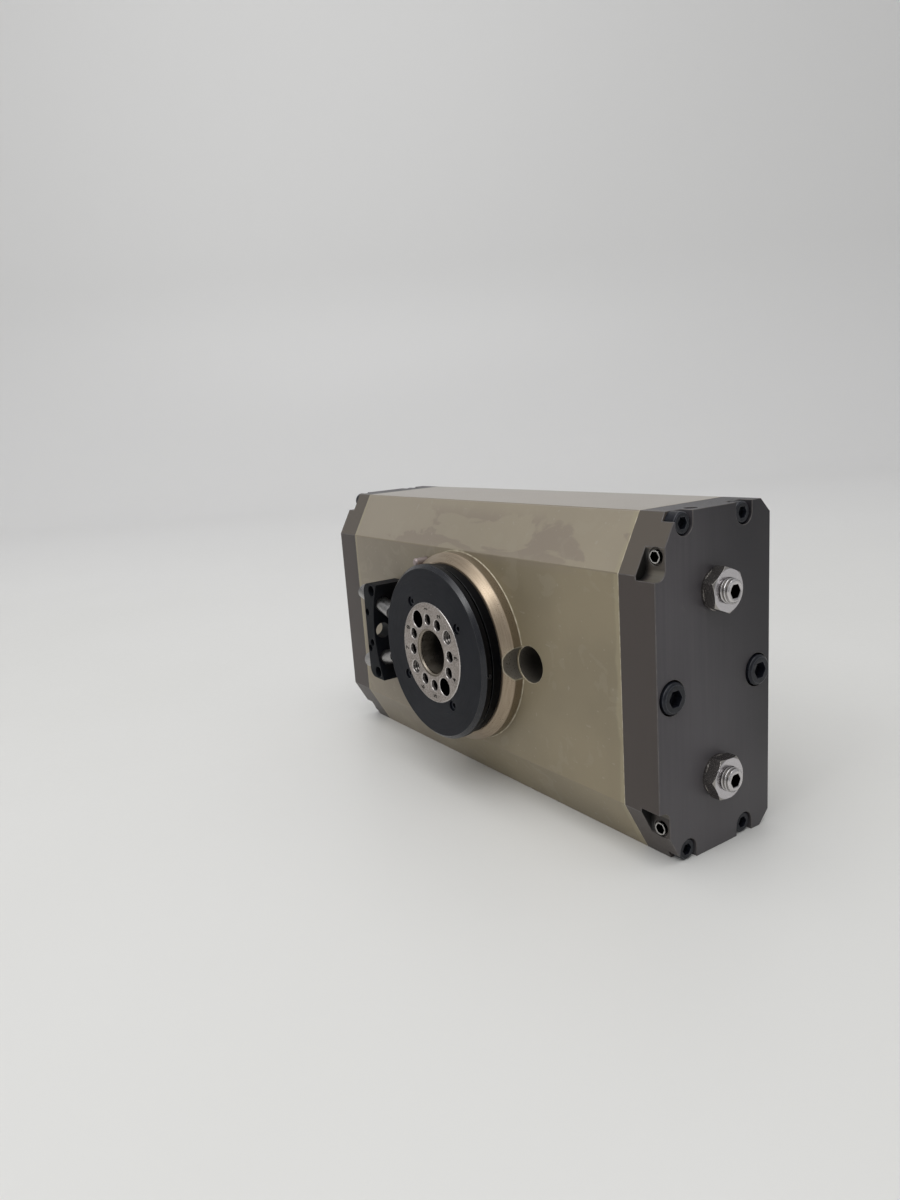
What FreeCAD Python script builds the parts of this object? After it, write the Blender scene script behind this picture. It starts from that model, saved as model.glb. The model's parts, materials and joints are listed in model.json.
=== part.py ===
import FreeCAD, Part
import math
import os
import re

import Sketcher
from FreeCAD import Placement, Rotation, Vector

# Swivel module: a block with two parallel cylinders whose rack pistons turn one hollow pinion shaft.
# The shaft's flange faces -Y and the block stands on a long side, +Z up, adjusting screws at +X.
# The origin is the swivel axis at the flange's face, and every length is in millimetres.
SIZES = {
    # Block: housing between two end caps
    "block_height": 110.0,
    "housing_length": 169.0,
    "housing_depth": 52.5,
    "cap_thickness": 14.4,
    "front_chamfer_depth": 9.8,
    "front_chamfer_height": 17.8,
    "back_chamfer": 4.5,
    "flange_standoff": 15.6,
    "boss_diameter": 73.6,
    "boss_height": 6.9,
    "boss_chamfer": 3.1,
    # Rack and pinion
    "gear_module": 1.5,
    "pinion_teeth": 24,
    "pinion_width": 20.0,
    "pressure_angle": 20.0,
    "tooth_play": 0.2,
    "swivel_angle": 180.0,
    "bore_spacing": 60.0,
    "bore_diameter": 32.0,
    "running_clearance": 0.05,
    # Pistons
    "rack_length": 87.0,
    "piston_head": 8.5,
    "head_land": 1.2,
    "guide_width": 3.0,
    "guide_depth": 1.2,
    "seal_width": 2.1,
    "seal_depth": 1.8,
    # Swivel flange and hollow shaft
    "centre_bore": 16.4,
    "bore_chamfer": 0.8,
    "face_diameter": 39.0,
    "disc_overhang": 0.7,
    "disc_thickness": 3.4,
    "disc_recess": 0.2,
    "disc_bevel": 1.4,
    "disc_gap": 1.3,
    "cam_ring_wall": 5.1,
    "cam_ring_width": 3.5,
    "hub_flange_diameter": 56.0,
    "neck_diameter": 44.0,
    "relief_diameter": 32.0,
    "shaft_end_recess": 0.5,
    "flange_turn": 3.5,
    "thread_circle": 28.6,
    "flange_thread": 5.0,
    "flange_thread_depth": 12.0,
    "dowel_hole": 6.8,
    "dowel_depth": 8.0,
    "port_circle": 25.6,
    "port_hole": 4.2,
    "disc_screw_circle": 44.0,
    "disc_screw": 4.0,
    "disc_screw_sink": 0.8,
    "disc_screw_length": 6.5,
    "disc_screw_flats": 2.0,
    "set_screw": 1.6,
    "set_screw_wall": 0.2,
    "set_screw_sink": 0.4,
    "set_screw_flats": 0.9,
    "set_screw_angle": -5.0,
    # Bearings, front and rear
    "front_bearing_bore": 40.0,
    "front_bearing_outside": 52.0,
    "front_bearing_width": 7.0,
    "rear_bearing_bore": 35.0,
    "rear_bearing_outside": 47.0,
    "rear_bearing_width": 7.0,
    "bearing_rollers": 12,
    "roller_clearance": 0.04,
    "roller_lip": 0.8,
    "race_thickness": 1.5,
    "shoulder_width": 3.0,
    "shoulder_lip": 3.5,
    "chamber_clearance": 0.9,
    "retaining_ring_width": 1.5,
    "retaining_ring_height": 2.3,
    "retaining_groove_depth": 1.0,
    "rear_cover_diameter": 62.0,
    "rear_cover_thickness": 3.0,
    "rear_cover_opening": 42.0,
    "cover_screw_circle": 54.0,
    "cover_screw": 3.0,
    "cover_screw_head": 5.5,
    "cover_screw_sink": 1.7,
    "cover_screw_wall": 1.55,
    "cover_screw_flats": 2.0,
    # Mounting holes through the housing
    "mount_spacing": 81.0,
    "mount_hole": 9.0,
    "mount_counterbore": 13.2,
    "mount_counterbore_depth": 10.0,
    "mount_boss_cut": 14.2,
    # End cap screws
    "corner_screw": 4.0,
    "corner_head": 6.9,
    "corner_head_height": 4.0,
    "corner_head_edge": 0.4,
    "corner_head_sink": 0.6,
    "corner_flats": 3.5,
    "corner_screw_length": 20.0,
    "corner_spacing_y": 27.2,
    "corner_edge": 3.5,
    "corner_notch": 7.5,
    "corner_slot": 2.7,
    "face_screw": 6.0,
    "face_head": 10.0,
    "face_head_height": 6.0,
    "face_head_edge": 0.7,
    "face_head_proud": 1.4,
    "face_counterbore": 11.0,
    "face_flats": 5.0,
    "face_screw_length": 25.0,
    "face_spacing_y": 39.7,
    "screw_hole_play": 0.4,
    "spigot_length": 3.0,
    "bore_seal_width": 1.5,
    "bore_seal_depth": 1.5,
    # Adjusting screws with lock nuts
    "stop_screw": 8.0,
    "stop_screw_point": 5.5,
    "stop_point_length": 1.5,
    "stop_flats": 4.0,
    "stop_socket_depth": 5.0,
    "stop_tip_gap": 0.3,
    "stop_stub": 2.5,
    "stop_end_chamfer": 0.9,
    "lock_nut_flats": 13.0,
    "lock_nut_height": 4.0,
    "upper_nut_turn": 37.8,
    "lower_nut_turn": 57.3,
    "lock_washer_height": 0.9,
    "lock_washer_diameter": 13.4,
    "thread_play": 0.02,
    # Throttle screws in the pockets of the cap's front chamfers, and the air port
    "throttle_pocket_width": 7.5,
    "throttle_pocket_floor": 4.5,
    "throttle_pocket_height": 19.1,
    "throttle_pocket_round": 3.0,
    "throttle_screw": 4.0,
    "throttle_flats": 3.0,
    "throttle_x": 10.8,
    "throttle_edge": 12.4,
    "throttle_stub": 0.6,
    "throttle_sink": 5.4,
    "throttle_sink_depth": 0.6,
    "throttle_length": 9.0,
    "air_port": 4.2,
    "air_port_x": 10.4,
    "air_port_y": 20.2,
    "air_port_depth": 8.0,
    # Sensor bracket and sensors
    "bracket_clearance": 13.2,
    "bracket_thickness": 6.7,
    "bracket_height": 41.6,
    "bracket_reach": 14.0,
    "bracket_round": 4.0,
    "bracket_screw": 2.5,
    "bracket_screw_head": 4.5,
    "bracket_screw_head_height": 2.5,
    "small_head_edge": 0.25,
    "bracket_screw_length": 12.0,
    "bracket_screw_flats": 2.0,
    "bracket_screw_sink": 7.0,
    "bracket_screw_inset": 6.9,
    "bracket_screw_edge": 3.0,
    "clamp_screw": 3.0,
    "clamp_screw_length": 5.0,
    "clamp_screw_sink": 1.6,
    "clamp_screw_flats": 1.5,
    "clamp_screw_inset": 1.7,
    "clamp_screw_offset": 5.3,
    "spare_clamp_inset": 3.9,
    "sensor_diameter": 6.5,
    "sensor_angle": 14.5,
    "sensor_reach": 9.8,
    "sensor_gap": 1.2,
    "sensor_face_length": 3.0,
    "sensor_length": 28.0,
    "sensor_face_step": 0.3,
    "sensor_end_chamfer": 0.6,
    # Small pin beside the boss
    "boss_pin": 3.4,
    "boss_pin_reach": 5.6,
    "boss_pin_depth": 8.0,
    "boss_pin_gap": 0.3,
    "boss_pin_angle": 127.0,
    "boss_pin_chamfer": 0.6,
    # Depth that a cut is carried past a face
    "cut_past": 1.0,
}

# Values that follow from the sizes, written in the sheet's own words.
DERIVED = {
    "half_height": "block_height / 2",
    "front_y": "flange_standoff",
    "mid_y": "flange_standoff + housing_depth / 2",
    "back_y": "flange_standoff + housing_depth",
    "boss_y": "flange_standoff - boss_height",
    "joint_x": "housing_length / 2",
    "outer_x": "housing_length / 2 + cap_thickness",
    "bore_z": "bore_spacing / 2",
    "pitch_radius": "gear_module * pinion_teeth / 2",
    "tip_radius": "pitch_radius + gear_module",
    "root_depth": "gear_module * 1.25",
    "tooth_pitch": "pi * gear_module",
    "half_stroke": "pitch_radius * pi * swivel_angle / 360",
    "piston_radius": "bore_diameter / 2 - running_clearance",
    "half_piston": "rack_length / 2 + piston_head",
    "rack_pitch_z": "bore_z - pitch_radius",
    "guide_x": "rack_length / 2 + head_land",
    "seal_x": "rack_length / 2 + 2 * head_land + guide_width",
    "cam_radius": "hub_flange_diameter / 2 + cam_ring_wall",
    "disc_radius": "cam_radius + disc_overhang",
    "set_screw_length": "disc_radius - set_screw_sink - face_diameter / 2",
    "disc_back": "disc_recess + disc_thickness",
    "cam_front": "disc_back + disc_gap",
    "hub_back": "cam_front + cam_ring_width",
    "front_bearing_back": "front_y + front_bearing_width",
    "rear_bearing_back": "back_y - rear_cover_thickness",
    "cover_screw_tip": "mid_y + bore_diameter / 2 + cover_screw_wall + cut_past",
    "cover_screw_length": "back_y - cover_screw_sink - cover_screw_tip",
    "rear_bearing_front": "rear_bearing_back - rear_bearing_width",
    "pinion_front": "mid_y - pinion_width / 2",
    "pinion_back": "mid_y + pinion_width / 2",
    "shaft_end": "back_y - shaft_end_recess",
    "corner_z": "half_height - corner_edge",
    "notch_x": "outer_x - corner_head_sink - corner_head_height",
    "face_seat_x": "outer_x + face_head_proud - face_head_height",
    "throttle_floor_y": "front_y + throttle_pocket_floor",
    "throttle_low_z": "half_height - throttle_pocket_height",
    "throttle_z": "half_height - throttle_edge",
    "stop_tip_x": "half_piston + half_stroke + stop_tip_gap",
    "stop_end_x": "outer_x + lock_washer_height + lock_nut_height + stop_stub",
    "bracket_inner_radius": "disc_radius + bracket_clearance",
    "bracket_outer_x": "bracket_inner_radius + bracket_thickness",
    "bracket_front": "front_y - bracket_reach",
    "bracket_top": "bracket_height / 2",
    "sensor_tip_radius": "disc_radius + sensor_gap",
    "boss_pin_circle": "boss_diameter + boss_pin + 2 * boss_pin_gap",
    "sensor_y": "front_y - sensor_reach",
    "sensor_hole": "sensor_diameter / 2 + running_clearance",
}

doc = FreeCAD.newDocument("swivel_module")
sheet = doc.addObject("Spreadsheet::Sheet", "Sizes")
for row, (alias, number) in enumerate(SIZES.items(), start=1):
    sheet.set(f"A{row}", alias)
    sheet.set(f"B{row}", str(number))
    sheet.setAlias(f"B{row}", alias)
doc.recompute()

# Which way a plane's own normal points along its axis.
PLANE_SIGN = {"XY_Plane": 1, "XZ_Plane": -1, "YZ_Plane": 1}

# Turns about Z that point a turned piece's own +Y along these directions.
TURN = {"back": 0.0, "right": -90.0, "left": 90.0, "front": 180.0}

NODES = []


def ex(text):
    """An expression with each size spelled as the sheet's cell and each derived value written out."""

    def spell(match):
        word = match.group(0)
        if word in SIZES:
            return "Sizes." + word
        if word in DERIVED:
            return "(" + ex(DERIVED[word]) + ")"
        return word

    return re.sub(r"[a-z]\w*", spell, text)


def value(text):
    result = sheet.evalExpression(ex(text))
    return float(getattr(result, "Value", result))


def bind(owner, path, text):
    owner.setExpression(path, ex(text))


def new_body(name):
    body = doc.addObject("PartDesign::Body", name)
    body.Label = name
    body.AllowCompound = True
    return body


def node(part, label):
    """Marks a finished object as a sub-part of its own."""
    part.Label = label
    NODES.append(part)
    return part


def new_sketch(body, name, plane, at="0"):
    """A sketch on one of the body's own origin planes, moved along that plane's axis to a coordinate."""
    drawing = body.newObject("Sketcher::SketchObject", f"{body.Name}_{name}")
    support = next(f for f in body.Origin.OriginFeatures if f.Role == plane)
    drawing.AttachmentSupport = [(support, "")]
    drawing.MapMode = "FlatFace"
    bind(drawing, "AttachmentOffset.Base.z", f"{PLANE_SIGN[plane]} * ({at})")
    return drawing


def hold(drawing, geometry, point, across, up):
    """Ties one point of a sketch to its distances from the sketch's origin."""
    for kind, text in (("DistanceX", across), ("DistanceY", up)):
        index = drawing.addConstraint(Sketcher.Constraint(kind, -1, 1, geometry, point, value(text)))
        bind(drawing, f"Constraints[{index}]", text)


def polygon(drawing, corners):
    points = [Vector(value(across), value(up), 0) for across, up in corners]
    first = drawing.GeometryCount
    count = len(points)
    for i, point in enumerate(points):
        drawing.addGeometry(Part.LineSegment(point, points[(i + 1) % count]), False)
    for i, (across, up) in enumerate(corners):
        following = first + (i + 1) % count
        drawing.addConstraint(Sketcher.Constraint("Coincident", first + i, 2, following, 1))
        hold(drawing, first + i, 1, across, up)


def rectangle(drawing, left, right, low, high):
    polygon(drawing, [(left, low), (right, low), (right, high), (left, high)])


def circle(drawing, across, up, radius):
    shape = Part.Circle(Vector(value(across), value(up), 0), Vector(0, 0, 1), value(radius))
    geometry = drawing.addGeometry(shape, False)
    hold(drawing, geometry, 3, across, up)
    index = drawing.addConstraint(Sketcher.Constraint("Radius", geometry, value(radius)))
    bind(drawing, f"Constraints[{index}]", radius)


def hexagon(drawing, flats):
    corner = f"{flats} / sqrt(3)"
    polygon(drawing, [(f"{corner} * cos({60 * i}deg)", f"{corner} * sin({60 * i}deg)") for i in range(6)])


def extrude(body, kind, name, plane, start, end, draw):
    """A Pad or a Pocket of what draw() puts on a sketch, from one coordinate up to a higher one."""
    drawing = new_sketch(body, name + "_sketch", plane, start)
    draw(drawing)
    step = body.newObject("PartDesign::" + kind, f"{body.Name}_{name}")
    step.Profile = drawing
    step.Reversed = (PLANE_SIGN[plane] < 0) == (kind == "Pad")
    bind(step, "Length", f"({end}) - ({start})")
    drawing.Visibility = False
    return step


def pad(body, name, plane, start, end, draw):
    return extrude(body, "Pad", name, plane, start, end, draw)


def pocket(body, name, plane, start, end, draw):
    return extrude(body, "Pocket", name, plane, start, end, draw)


def revolve(body, kind, name, corners, axis="V_Axis"):
    """A Revolution or a Groove of a closed outline: radius and Y, or X and radius about the H axis."""
    drawing = new_sketch(body, name + "_outline", "XY_Plane")
    polygon(drawing, corners)
    step = body.newObject("PartDesign::" + kind, f"{body.Name}_{name}")
    step.Profile = drawing
    step.ReferenceAxis = (drawing, [axis])
    step.Angle = 360
    return step


def turned(name, corners):
    body = new_body(name)
    revolve(body, "Revolution", "turning", corners)
    return body


def ring(name, inner, outer, low, high):
    return turned(name, [(inner, low), (outer, low), (outer, high), (inner, high)])


def place(part, across, deep, up, rotation):
    part.Placement = Placement(Vector(), rotation)
    for letter, text in (("x", across), ("y", deep), ("z", up)):
        bind(part, f"Placement.Base.{letter}", text)


def group(label, pattern, places, direction="back"):
    """A node made of one piece at each place, every copy a separate solid."""
    copies = []
    for i, (across, deep, up) in enumerate(places, start=1):
        copy = doc.addObject("App::Link", f"{label}_{i}")
        copy.LinkedObject = pattern
        turn = direction if isinstance(direction, Rotation) else Rotation(Vector(0, 0, 1), TURN[direction])
        place(copy, across, deep, up, turn)
        copies.append(copy)
    compound = doc.addObject("Part::Compound", label + "_set")
    compound.Links = copies
    return node(compound, label)


def on_circle(diameter, angle):
    """Across and up of a point on a circle about the swivel axis, the angle in degrees as text."""
    return f"{diameter} / 2 * cos(({angle}) * 1deg)", f"{diameter} / 2 * sin(({angle}) * 1deg)"


def radial(angle):
    """The direction away from the swivel axis at an angle from +X towards +Z."""
    return Vector(math.cos(math.radians(angle)), 0, math.sin(math.radians(angle)))


def socket_screw(name, diameter, length, head, head_height, head_edge, flats):
    """A cap screw along Y: shank below 0, head with a bevelled edge above it, hex socket sunk into the head."""
    body = turned(name, [
        ("0", f"-({length})"),
        (f"{diameter} / 2", f"-({length})"),
        (f"{diameter} / 2", "0"),
        (f"{head} / 2", "0"),
        (f"{head} / 2", f"{head_height} - {head_edge}"),
        (f"{head} / 2 - {head_edge}", head_height),
        ("0", head_height),
    ])
    pocket(body, "socket", "XZ_Plane", f"{head_height} / 2", head_height, lambda s: hexagon(s, flats))
    return body


def set_screw(name, diameter, length, flats):
    """A headless screw along Y, its top at 0."""
    low = f"-({length})"
    body = turned(name, [("0", low), (f"{diameter} / 2", low), (f"{diameter} / 2", "0"), ("0", "0")])
    pocket(body, "socket", "XZ_Plane", f"{low} / 2", "0", lambda s: hexagon(s, flats))
    return body


# End screws: four small ones in the corners and two larger ones on the middle of each cap.
CORNER_PLACES = [
    (f"mid_y {side} corner_spacing_y / 2", f"{level}corner_z") for side in "+-" for level in ("", "-")
]
FACE_PLACES = [(f"mid_y {side} face_spacing_y / 2", "0") for side in "+-"]
BORE_PLACES = [("mid_y", "bore_z"), ("mid_y", "-bore_z")]
MOUNT_PLACES = [("mount_spacing / 2", "0"), ("-mount_spacing / 2", "0")]

# Twelve places round the flange's face, in degrees: two threads, two dowel holes and eight ports.
THREAD_ANGLES = [30, 210]
DOWEL_ANGLES = [120, 300]
PORT_ANGLES = [angle for angle in range(0, 360, 30) if angle not in THREAD_ANGLES + DOWEL_ANGLES]


def circles(places, radius):
    """A drawing of equal circles, one at each place."""

    def draw(drawing):
        for across, up in places:
            circle(drawing, across, up, radius)

    return draw


def block_outline(drawing):
    """The block's section across its length: wide front chamfers and small back ones."""
    wide = "front_y + front_chamfer_depth"
    low = "half_height - front_chamfer_height"
    upper = [
        ("front_y", low),
        (wide, "half_height"),
        ("back_y - back_chamfer", "half_height"),
        ("back_y", "half_height - back_chamfer"),
    ]
    lower = [(across, f"-({up})") for across, up in reversed(upper)]
    polygon(drawing, upper + lower)


def make_housing():
    body = new_body("housing_body")
    pad(body, "block", "YZ_Plane", "-joint_x", "joint_x", block_outline)
    rim = "boss_diameter / 2"
    revolve(body, "Revolution", "boss", [
        ("0", "boss_y"),
        (f"{rim} - boss_chamfer", "boss_y"),
        (rim, "boss_y + boss_chamfer"),
        (rim, "front_y + boss_height"),
        ("0", "front_y + boss_height"),
    ])
    seat = "front_bearing_outside / 2"
    rear_seat = "rear_bearing_outside / 2"
    cover = "rear_cover_diameter / 2"
    chamber = "tip_radius + chamber_clearance"
    shoulder_back = "front_bearing_back + shoulder_width"
    revolve(body, "Groove", "stepped_bore", [
        ("0", "boss_y - cut_past"),
        (seat, "boss_y - cut_past"),
        (seat, "front_bearing_back"),
        (f"{seat} - shoulder_lip", "front_bearing_back"),
        (f"{seat} - shoulder_lip", shoulder_back),
        (chamber, shoulder_back),
        (chamber, "rear_bearing_front"),
        (rear_seat, "rear_bearing_front"),
        (rear_seat, "rear_bearing_back"),
        (cover, "rear_bearing_back"),
        (cover, "back_y + cut_past"),
        ("0", "back_y + cut_past"),
    ])
    bores = circles(BORE_PLACES, "bore_diameter / 2")
    pocket(body, "piston_bores", "YZ_Plane", "-joint_x - cut_past", "joint_x + cut_past", bores)
    deep = "front_y + mount_counterbore_depth"
    boss_cuts = circles(MOUNT_PLACES, "mount_boss_cut / 2")
    pocket(body, "mount_boss_cuts", "XZ_Plane", "boss_y - cut_past", "front_y", boss_cuts)
    sunk = circles(MOUNT_PLACES, "mount_counterbore / 2")
    pocket(body, "mount_counterbores", "XZ_Plane", "boss_y - cut_past", deep, sunk)
    through = circles(MOUNT_PLACES, "mount_hole / 2")
    pocket(body, "mount_holes", "XZ_Plane", "boss_y - cut_past", "back_y + cut_past", through)
    for end, start, stop in (
        ("right", "joint_x - {0}", "joint_x + cut_past"),
        ("left", "-joint_x - cut_past", "-joint_x + {0}"),
    ):
        reach = "corner_screw_length - (notch_x - joint_x) + cut_past"
        small = circles(CORNER_PLACES, "corner_screw / 2 + thread_play")
        pocket(body, end + "_corner_threads", "YZ_Plane", start.format(reach), stop.format(reach), small)
        reach = "face_screw_length - (face_seat_x - joint_x) + cut_past"
        large = circles(FACE_PLACES, "face_screw / 2 + thread_play")
        pocket(body, end + "_face_threads", "YZ_Plane", start.format(reach), stop.format(reach), large)
    bracket_threads = circles(bracket_screw_places(), "bracket_screw / 2 + thread_play")
    depth = "bracket_front + bracket_screw_sink + bracket_screw_head_height + bracket_screw_length"
    pocket(body, "bracket_threads", "XZ_Plane", "front_y - cut_past", depth + " + cut_past", bracket_threads)
    pin_place = [on_circle("boss_pin_circle", "boss_pin_angle")]
    pin_hole = circles(pin_place, "boss_pin / 2 + thread_play")
    pocket(body, "pin_hole", "XZ_Plane", "boss_y - cut_past", "front_y + boss_pin_depth", pin_hole)
    cover_threads = circles(cover_screw_places(), "cover_screw / 2 + thread_play")
    pocket(body, "cover_threads", "XZ_Plane", "cover_screw_tip - cut_past", "back_y + cut_past", cover_threads)
    return node(body, "housing")


def cover_screw_places():
    return [on_circle("cover_screw_circle", str(angle)) for angle in (0, 90, 180, 270)]


def bracket_screw_places():
    across = "bracket_screw_inset - bracket_outer_x"
    level = "bracket_top - bracket_screw_edge"
    return [(across, level), (across, f"-({level})")]


def clamp_screw_places():
    """One clamp screw beside each sensor seat, all on the side towards the middle or below it."""
    across = "clamp_screw_inset - bracket_outer_x"
    aside = "clamp_screw_offset / cos(sensor_angle * 1deg)"
    level = f"(bracket_outer_x - clamp_screw_inset) * tan(sensor_angle * 1deg) - {aside}"
    spare = ("spare_clamp_inset - bracket_outer_x", "-clamp_screw_offset")
    return [(across, level), (across, f"-({level})"), spare]


def notch_outline(drawing, across, sign):
    """The straight sides of a U-shaped notch, from the screw to past the cap's top or bottom."""
    levels = sorted((f"{sign}corner_z", f"{sign}(half_height + cut_past)"), key=value)
    rectangle(drawing, f"{across} - corner_notch / 2", f"{across} + corner_notch / 2", *levels)


def make_cap(label, right):
    """An end cap with spigots in the bores; the right one also takes the stops, throttles and air ports."""
    body = new_body(label + "_body")
    inner, outer = ("joint_x", "outer_x") if right else ("-outer_x", "-joint_x")
    pad(body, "plate", "YZ_Plane", inner, outer, block_outline)
    spigot = ("joint_x - spigot_length", "joint_x") if right else ("-joint_x", "spigot_length - joint_x")
    pad(body, "spigots", "YZ_Plane", *spigot, circles(BORE_PLACES, "piston_radius"))
    groove_mid = "(joint_x - spigot_length / 2)" if right else "(spigot_length / 2 - joint_x)"

    def seal_grooves(drawing):
        for across, up in BORE_PLACES:
            circle(drawing, across, up, "bore_diameter / 2 + cut_past")
            circle(drawing, across, up, "piston_radius - bore_seal_depth")

    pocket(body, "seal_grooves", "YZ_Plane", f"{groove_mid} - bore_seal_width / 2",
           f"{groove_mid} + bore_seal_width / 2", seal_grooves)
    through = ("joint_x - spigot_length - cut_past", "outer_x + cut_past")
    if not right:
        through = ("-outer_x - cut_past", "spigot_length - joint_x + cut_past")
    small = circles(CORNER_PLACES, "corner_screw / 2 + screw_hole_play")
    pocket(body, "corner_holes", "YZ_Plane", *through, small)
    large = circles(FACE_PLACES, "face_screw / 2 + screw_hole_play")
    pocket(body, "face_holes", "YZ_Plane", *through, large)
    sunk = ("face_seat_x", "outer_x + cut_past") if right else ("-outer_x - cut_past", "-face_seat_x")
    pocket(body, "face_counterbores", "YZ_Plane", *sunk, circles(FACE_PLACES, "face_counterbore / 2"))
    notch = ("notch_x", "outer_x + cut_past") if right else ("-outer_x - cut_past", "-notch_x")
    pocket(body, "notch_rounds", "YZ_Plane", *notch, circles(CORNER_PLACES, "corner_notch / 2"))

    def notch_slots(drawing):
        for across, up in CORNER_PLACES:
            notch_outline(drawing, across, "-" if up.startswith("-") else "")

    pocket(body, "notch_slots", "YZ_Plane", *notch, notch_slots)

    low = "half_height - corner_slot" if right else "corner_z - corner_notch / 2"

    def open_corners(drawing):
        for sign in ("", "-"):
            levels = sorted((f"{sign}({low})", f"{sign}(half_height + cut_past)"), key=value)
            rectangle(drawing, "front_y - cut_past", "mid_y - corner_spacing_y / 2", *levels)

    pocket(body, "open_corners", "YZ_Plane", *notch, open_corners)
    if right:
        stops = circles(BORE_PLACES, "stop_screw / 2 + thread_play")
        pocket(body, "stop_threads", "YZ_Plane", *through, stops)
        cut_throttle_pockets(body)
        for level, start, stop in (
            ("upper", "half_height - air_port_depth", "half_height + cut_past"),
            ("lower", "-half_height - cut_past", "air_port_depth - half_height"),
        ):
            port = circles([("joint_x + air_port_x", "front_y + air_port_y")], "air_port / 2")
            pocket(body, level + "_air_port", "XY_Plane", start, stop, port)
    return node(body, label)


def cut_throttle_pockets(body):
    """A pocket in each front chamfer, open to the outer face, its inner low edge rounded."""
    for level, sign in (("upper", ""), ("lower", "-")):
        low = "throttle_low_z"
        high = "half_height - cut_past"
        floor = "throttle_floor_y"

        def outline(drawing, sign=sign):
            rectangle(drawing, "front_y - cut_past", floor,
                      *sorted((f"{sign}({low})", f"{sign}({high})"), key=value))

        past_chamfer = pocket(body, level + "_throttle_pocket", "YZ_Plane", "outer_x - throttle_pocket_width",
                              "outer_x + cut_past", outline)
        doc.recompute()
        corner_z = value(f"{sign}({low})")
        edges = [
            f"Edge{i}"
            for i, edge in enumerate(past_chamfer.Shape.Edges, start=1)
            if all(abs(v.Y - value(floor)) < 1e-6 and abs(v.Z - corner_z) < 1e-6 for v in edge.Vertexes)
        ]
        rounding = body.newObject("PartDesign::Fillet", level + "_throttle_round")
        rounding.Base = (past_chamfer, edges)
        bind(rounding, "Radius", "throttle_pocket_round")
        spot = [("joint_x + throttle_x", f"{sign} throttle_z")]
        pocket(body, level + "_throttle_sink", "XZ_Plane", f"{floor} - cut_past", f"{floor} + throttle_sink_depth",
               circles(spot, "throttle_sink / 2"))
        hole = circles(spot, "throttle_screw / 2 + thread_play")
        pocket(body, level + "_throttle_thread", "XZ_Plane", f"{floor} - cut_past",
               f"{floor} - throttle_stub + throttle_length + cut_past", hole)


def make_cap_fittings():
    corner = socket_screw("corner_screw_body", "corner_screw", "corner_screw_length", "corner_head",
                          "corner_head_height", "corner_head_edge", "corner_flats")
    face = socket_screw("face_screw_body", "face_screw", "face_screw_length", "face_head",
                        "face_head_height", "face_head_edge", "face_flats")
    seal = ring("bore_seal_body", "piston_radius - bore_seal_depth", "bore_diameter / 2",
                "-bore_seal_width / 2", "bore_seal_width / 2")
    for side, sign in (("right", ""), ("left", "-")):
        corners = [(f"{sign}notch_x", deep, up) for deep, up in CORNER_PLACES]
        group("corner_screws_" + side, corner, corners, side)
        faces = [(f"{sign}(face_seat_x)", deep, up) for deep, up in FACE_PLACES]
        group("face_screws_" + side, face, faces, side)
        middle = f"{sign}(joint_x - spigot_length / 2)"
        group("bore_seals_" + side, seal, [(middle, deep, up) for deep, up in BORE_PLACES], side)


def make_stops():
    """Adjusting screws: each one's point stops a piston, a nut on a sealing washer locks it."""
    length = "(stop_end_x - stop_tip_x)"
    point = "stop_screw_point / 2"
    screw = turned("stop_screw_body", [
        ("0", f"-{length}"),
        (point, f"-{length}"),
        (point, f"stop_point_length - {length}"),
        ("stop_screw / 2", f"stop_point_length - {length}"),
        ("stop_screw / 2", "-stop_end_chamfer"),
        ("stop_screw / 2 - stop_end_chamfer", "0"),
        ("0", "0"),
    ])
    pocket(screw, "socket", "XZ_Plane", "-stop_socket_depth", "0", lambda s: hexagon(s, "stop_flats"))
    nut = new_body("lock_nut_body")
    pad(nut, "hexagon", "XZ_Plane", "0", "lock_nut_height", lambda s: hexagon(s, "lock_nut_flats"))
    hole = circles([("0", "0")], "stop_screw / 2 + thread_play")
    pocket(nut, "thread", "XZ_Plane", "-cut_past", "lock_nut_height + cut_past", hole)
    far = "lock_nut_flats / sqrt(3) + cut_past"
    near = "lock_nut_flats / 2"
    revolve(nut, "Groove", "corner_bevel", [
        (near, "lock_nut_height"),
        (far, "lock_nut_height"),
        (far, f"lock_nut_height - ({far} - {near}) * tan(30deg)"),
    ])
    washer = ring("lock_washer_body", "stop_screw / 2 + thread_play", "lock_washer_diameter / 2",
                  "0", "lock_washer_height")
    for level, sign in (("upper", ""), ("lower", "-")):
        group("stop_screw_" + level, screw, [("stop_end_x", "mid_y", f"{sign}bore_z")], "right")
        seat = ("outer_x + lock_washer_height", "mid_y", f"{sign}bore_z")
        turn = Rotation(Vector(1, 0, 0), value(level + "_nut_turn"))
        group("lock_nut_" + level, nut, [seat], turn.multiply(Rotation(Vector(0, 0, 1), TURN["right"])))
    washers = [("outer_x", deep, up) for deep, up in BORE_PLACES]
    group("stop_washers", washer, washers, "right")
    throttle = set_screw("throttle_screw_body", "throttle_screw", "throttle_length", "throttle_flats")
    top = "throttle_floor_y - throttle_stub"
    across = "joint_x + throttle_x"
    group("throttle_screws", throttle, [(across, top, "throttle_z"), (across, top, "-throttle_z")], "front")


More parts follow.
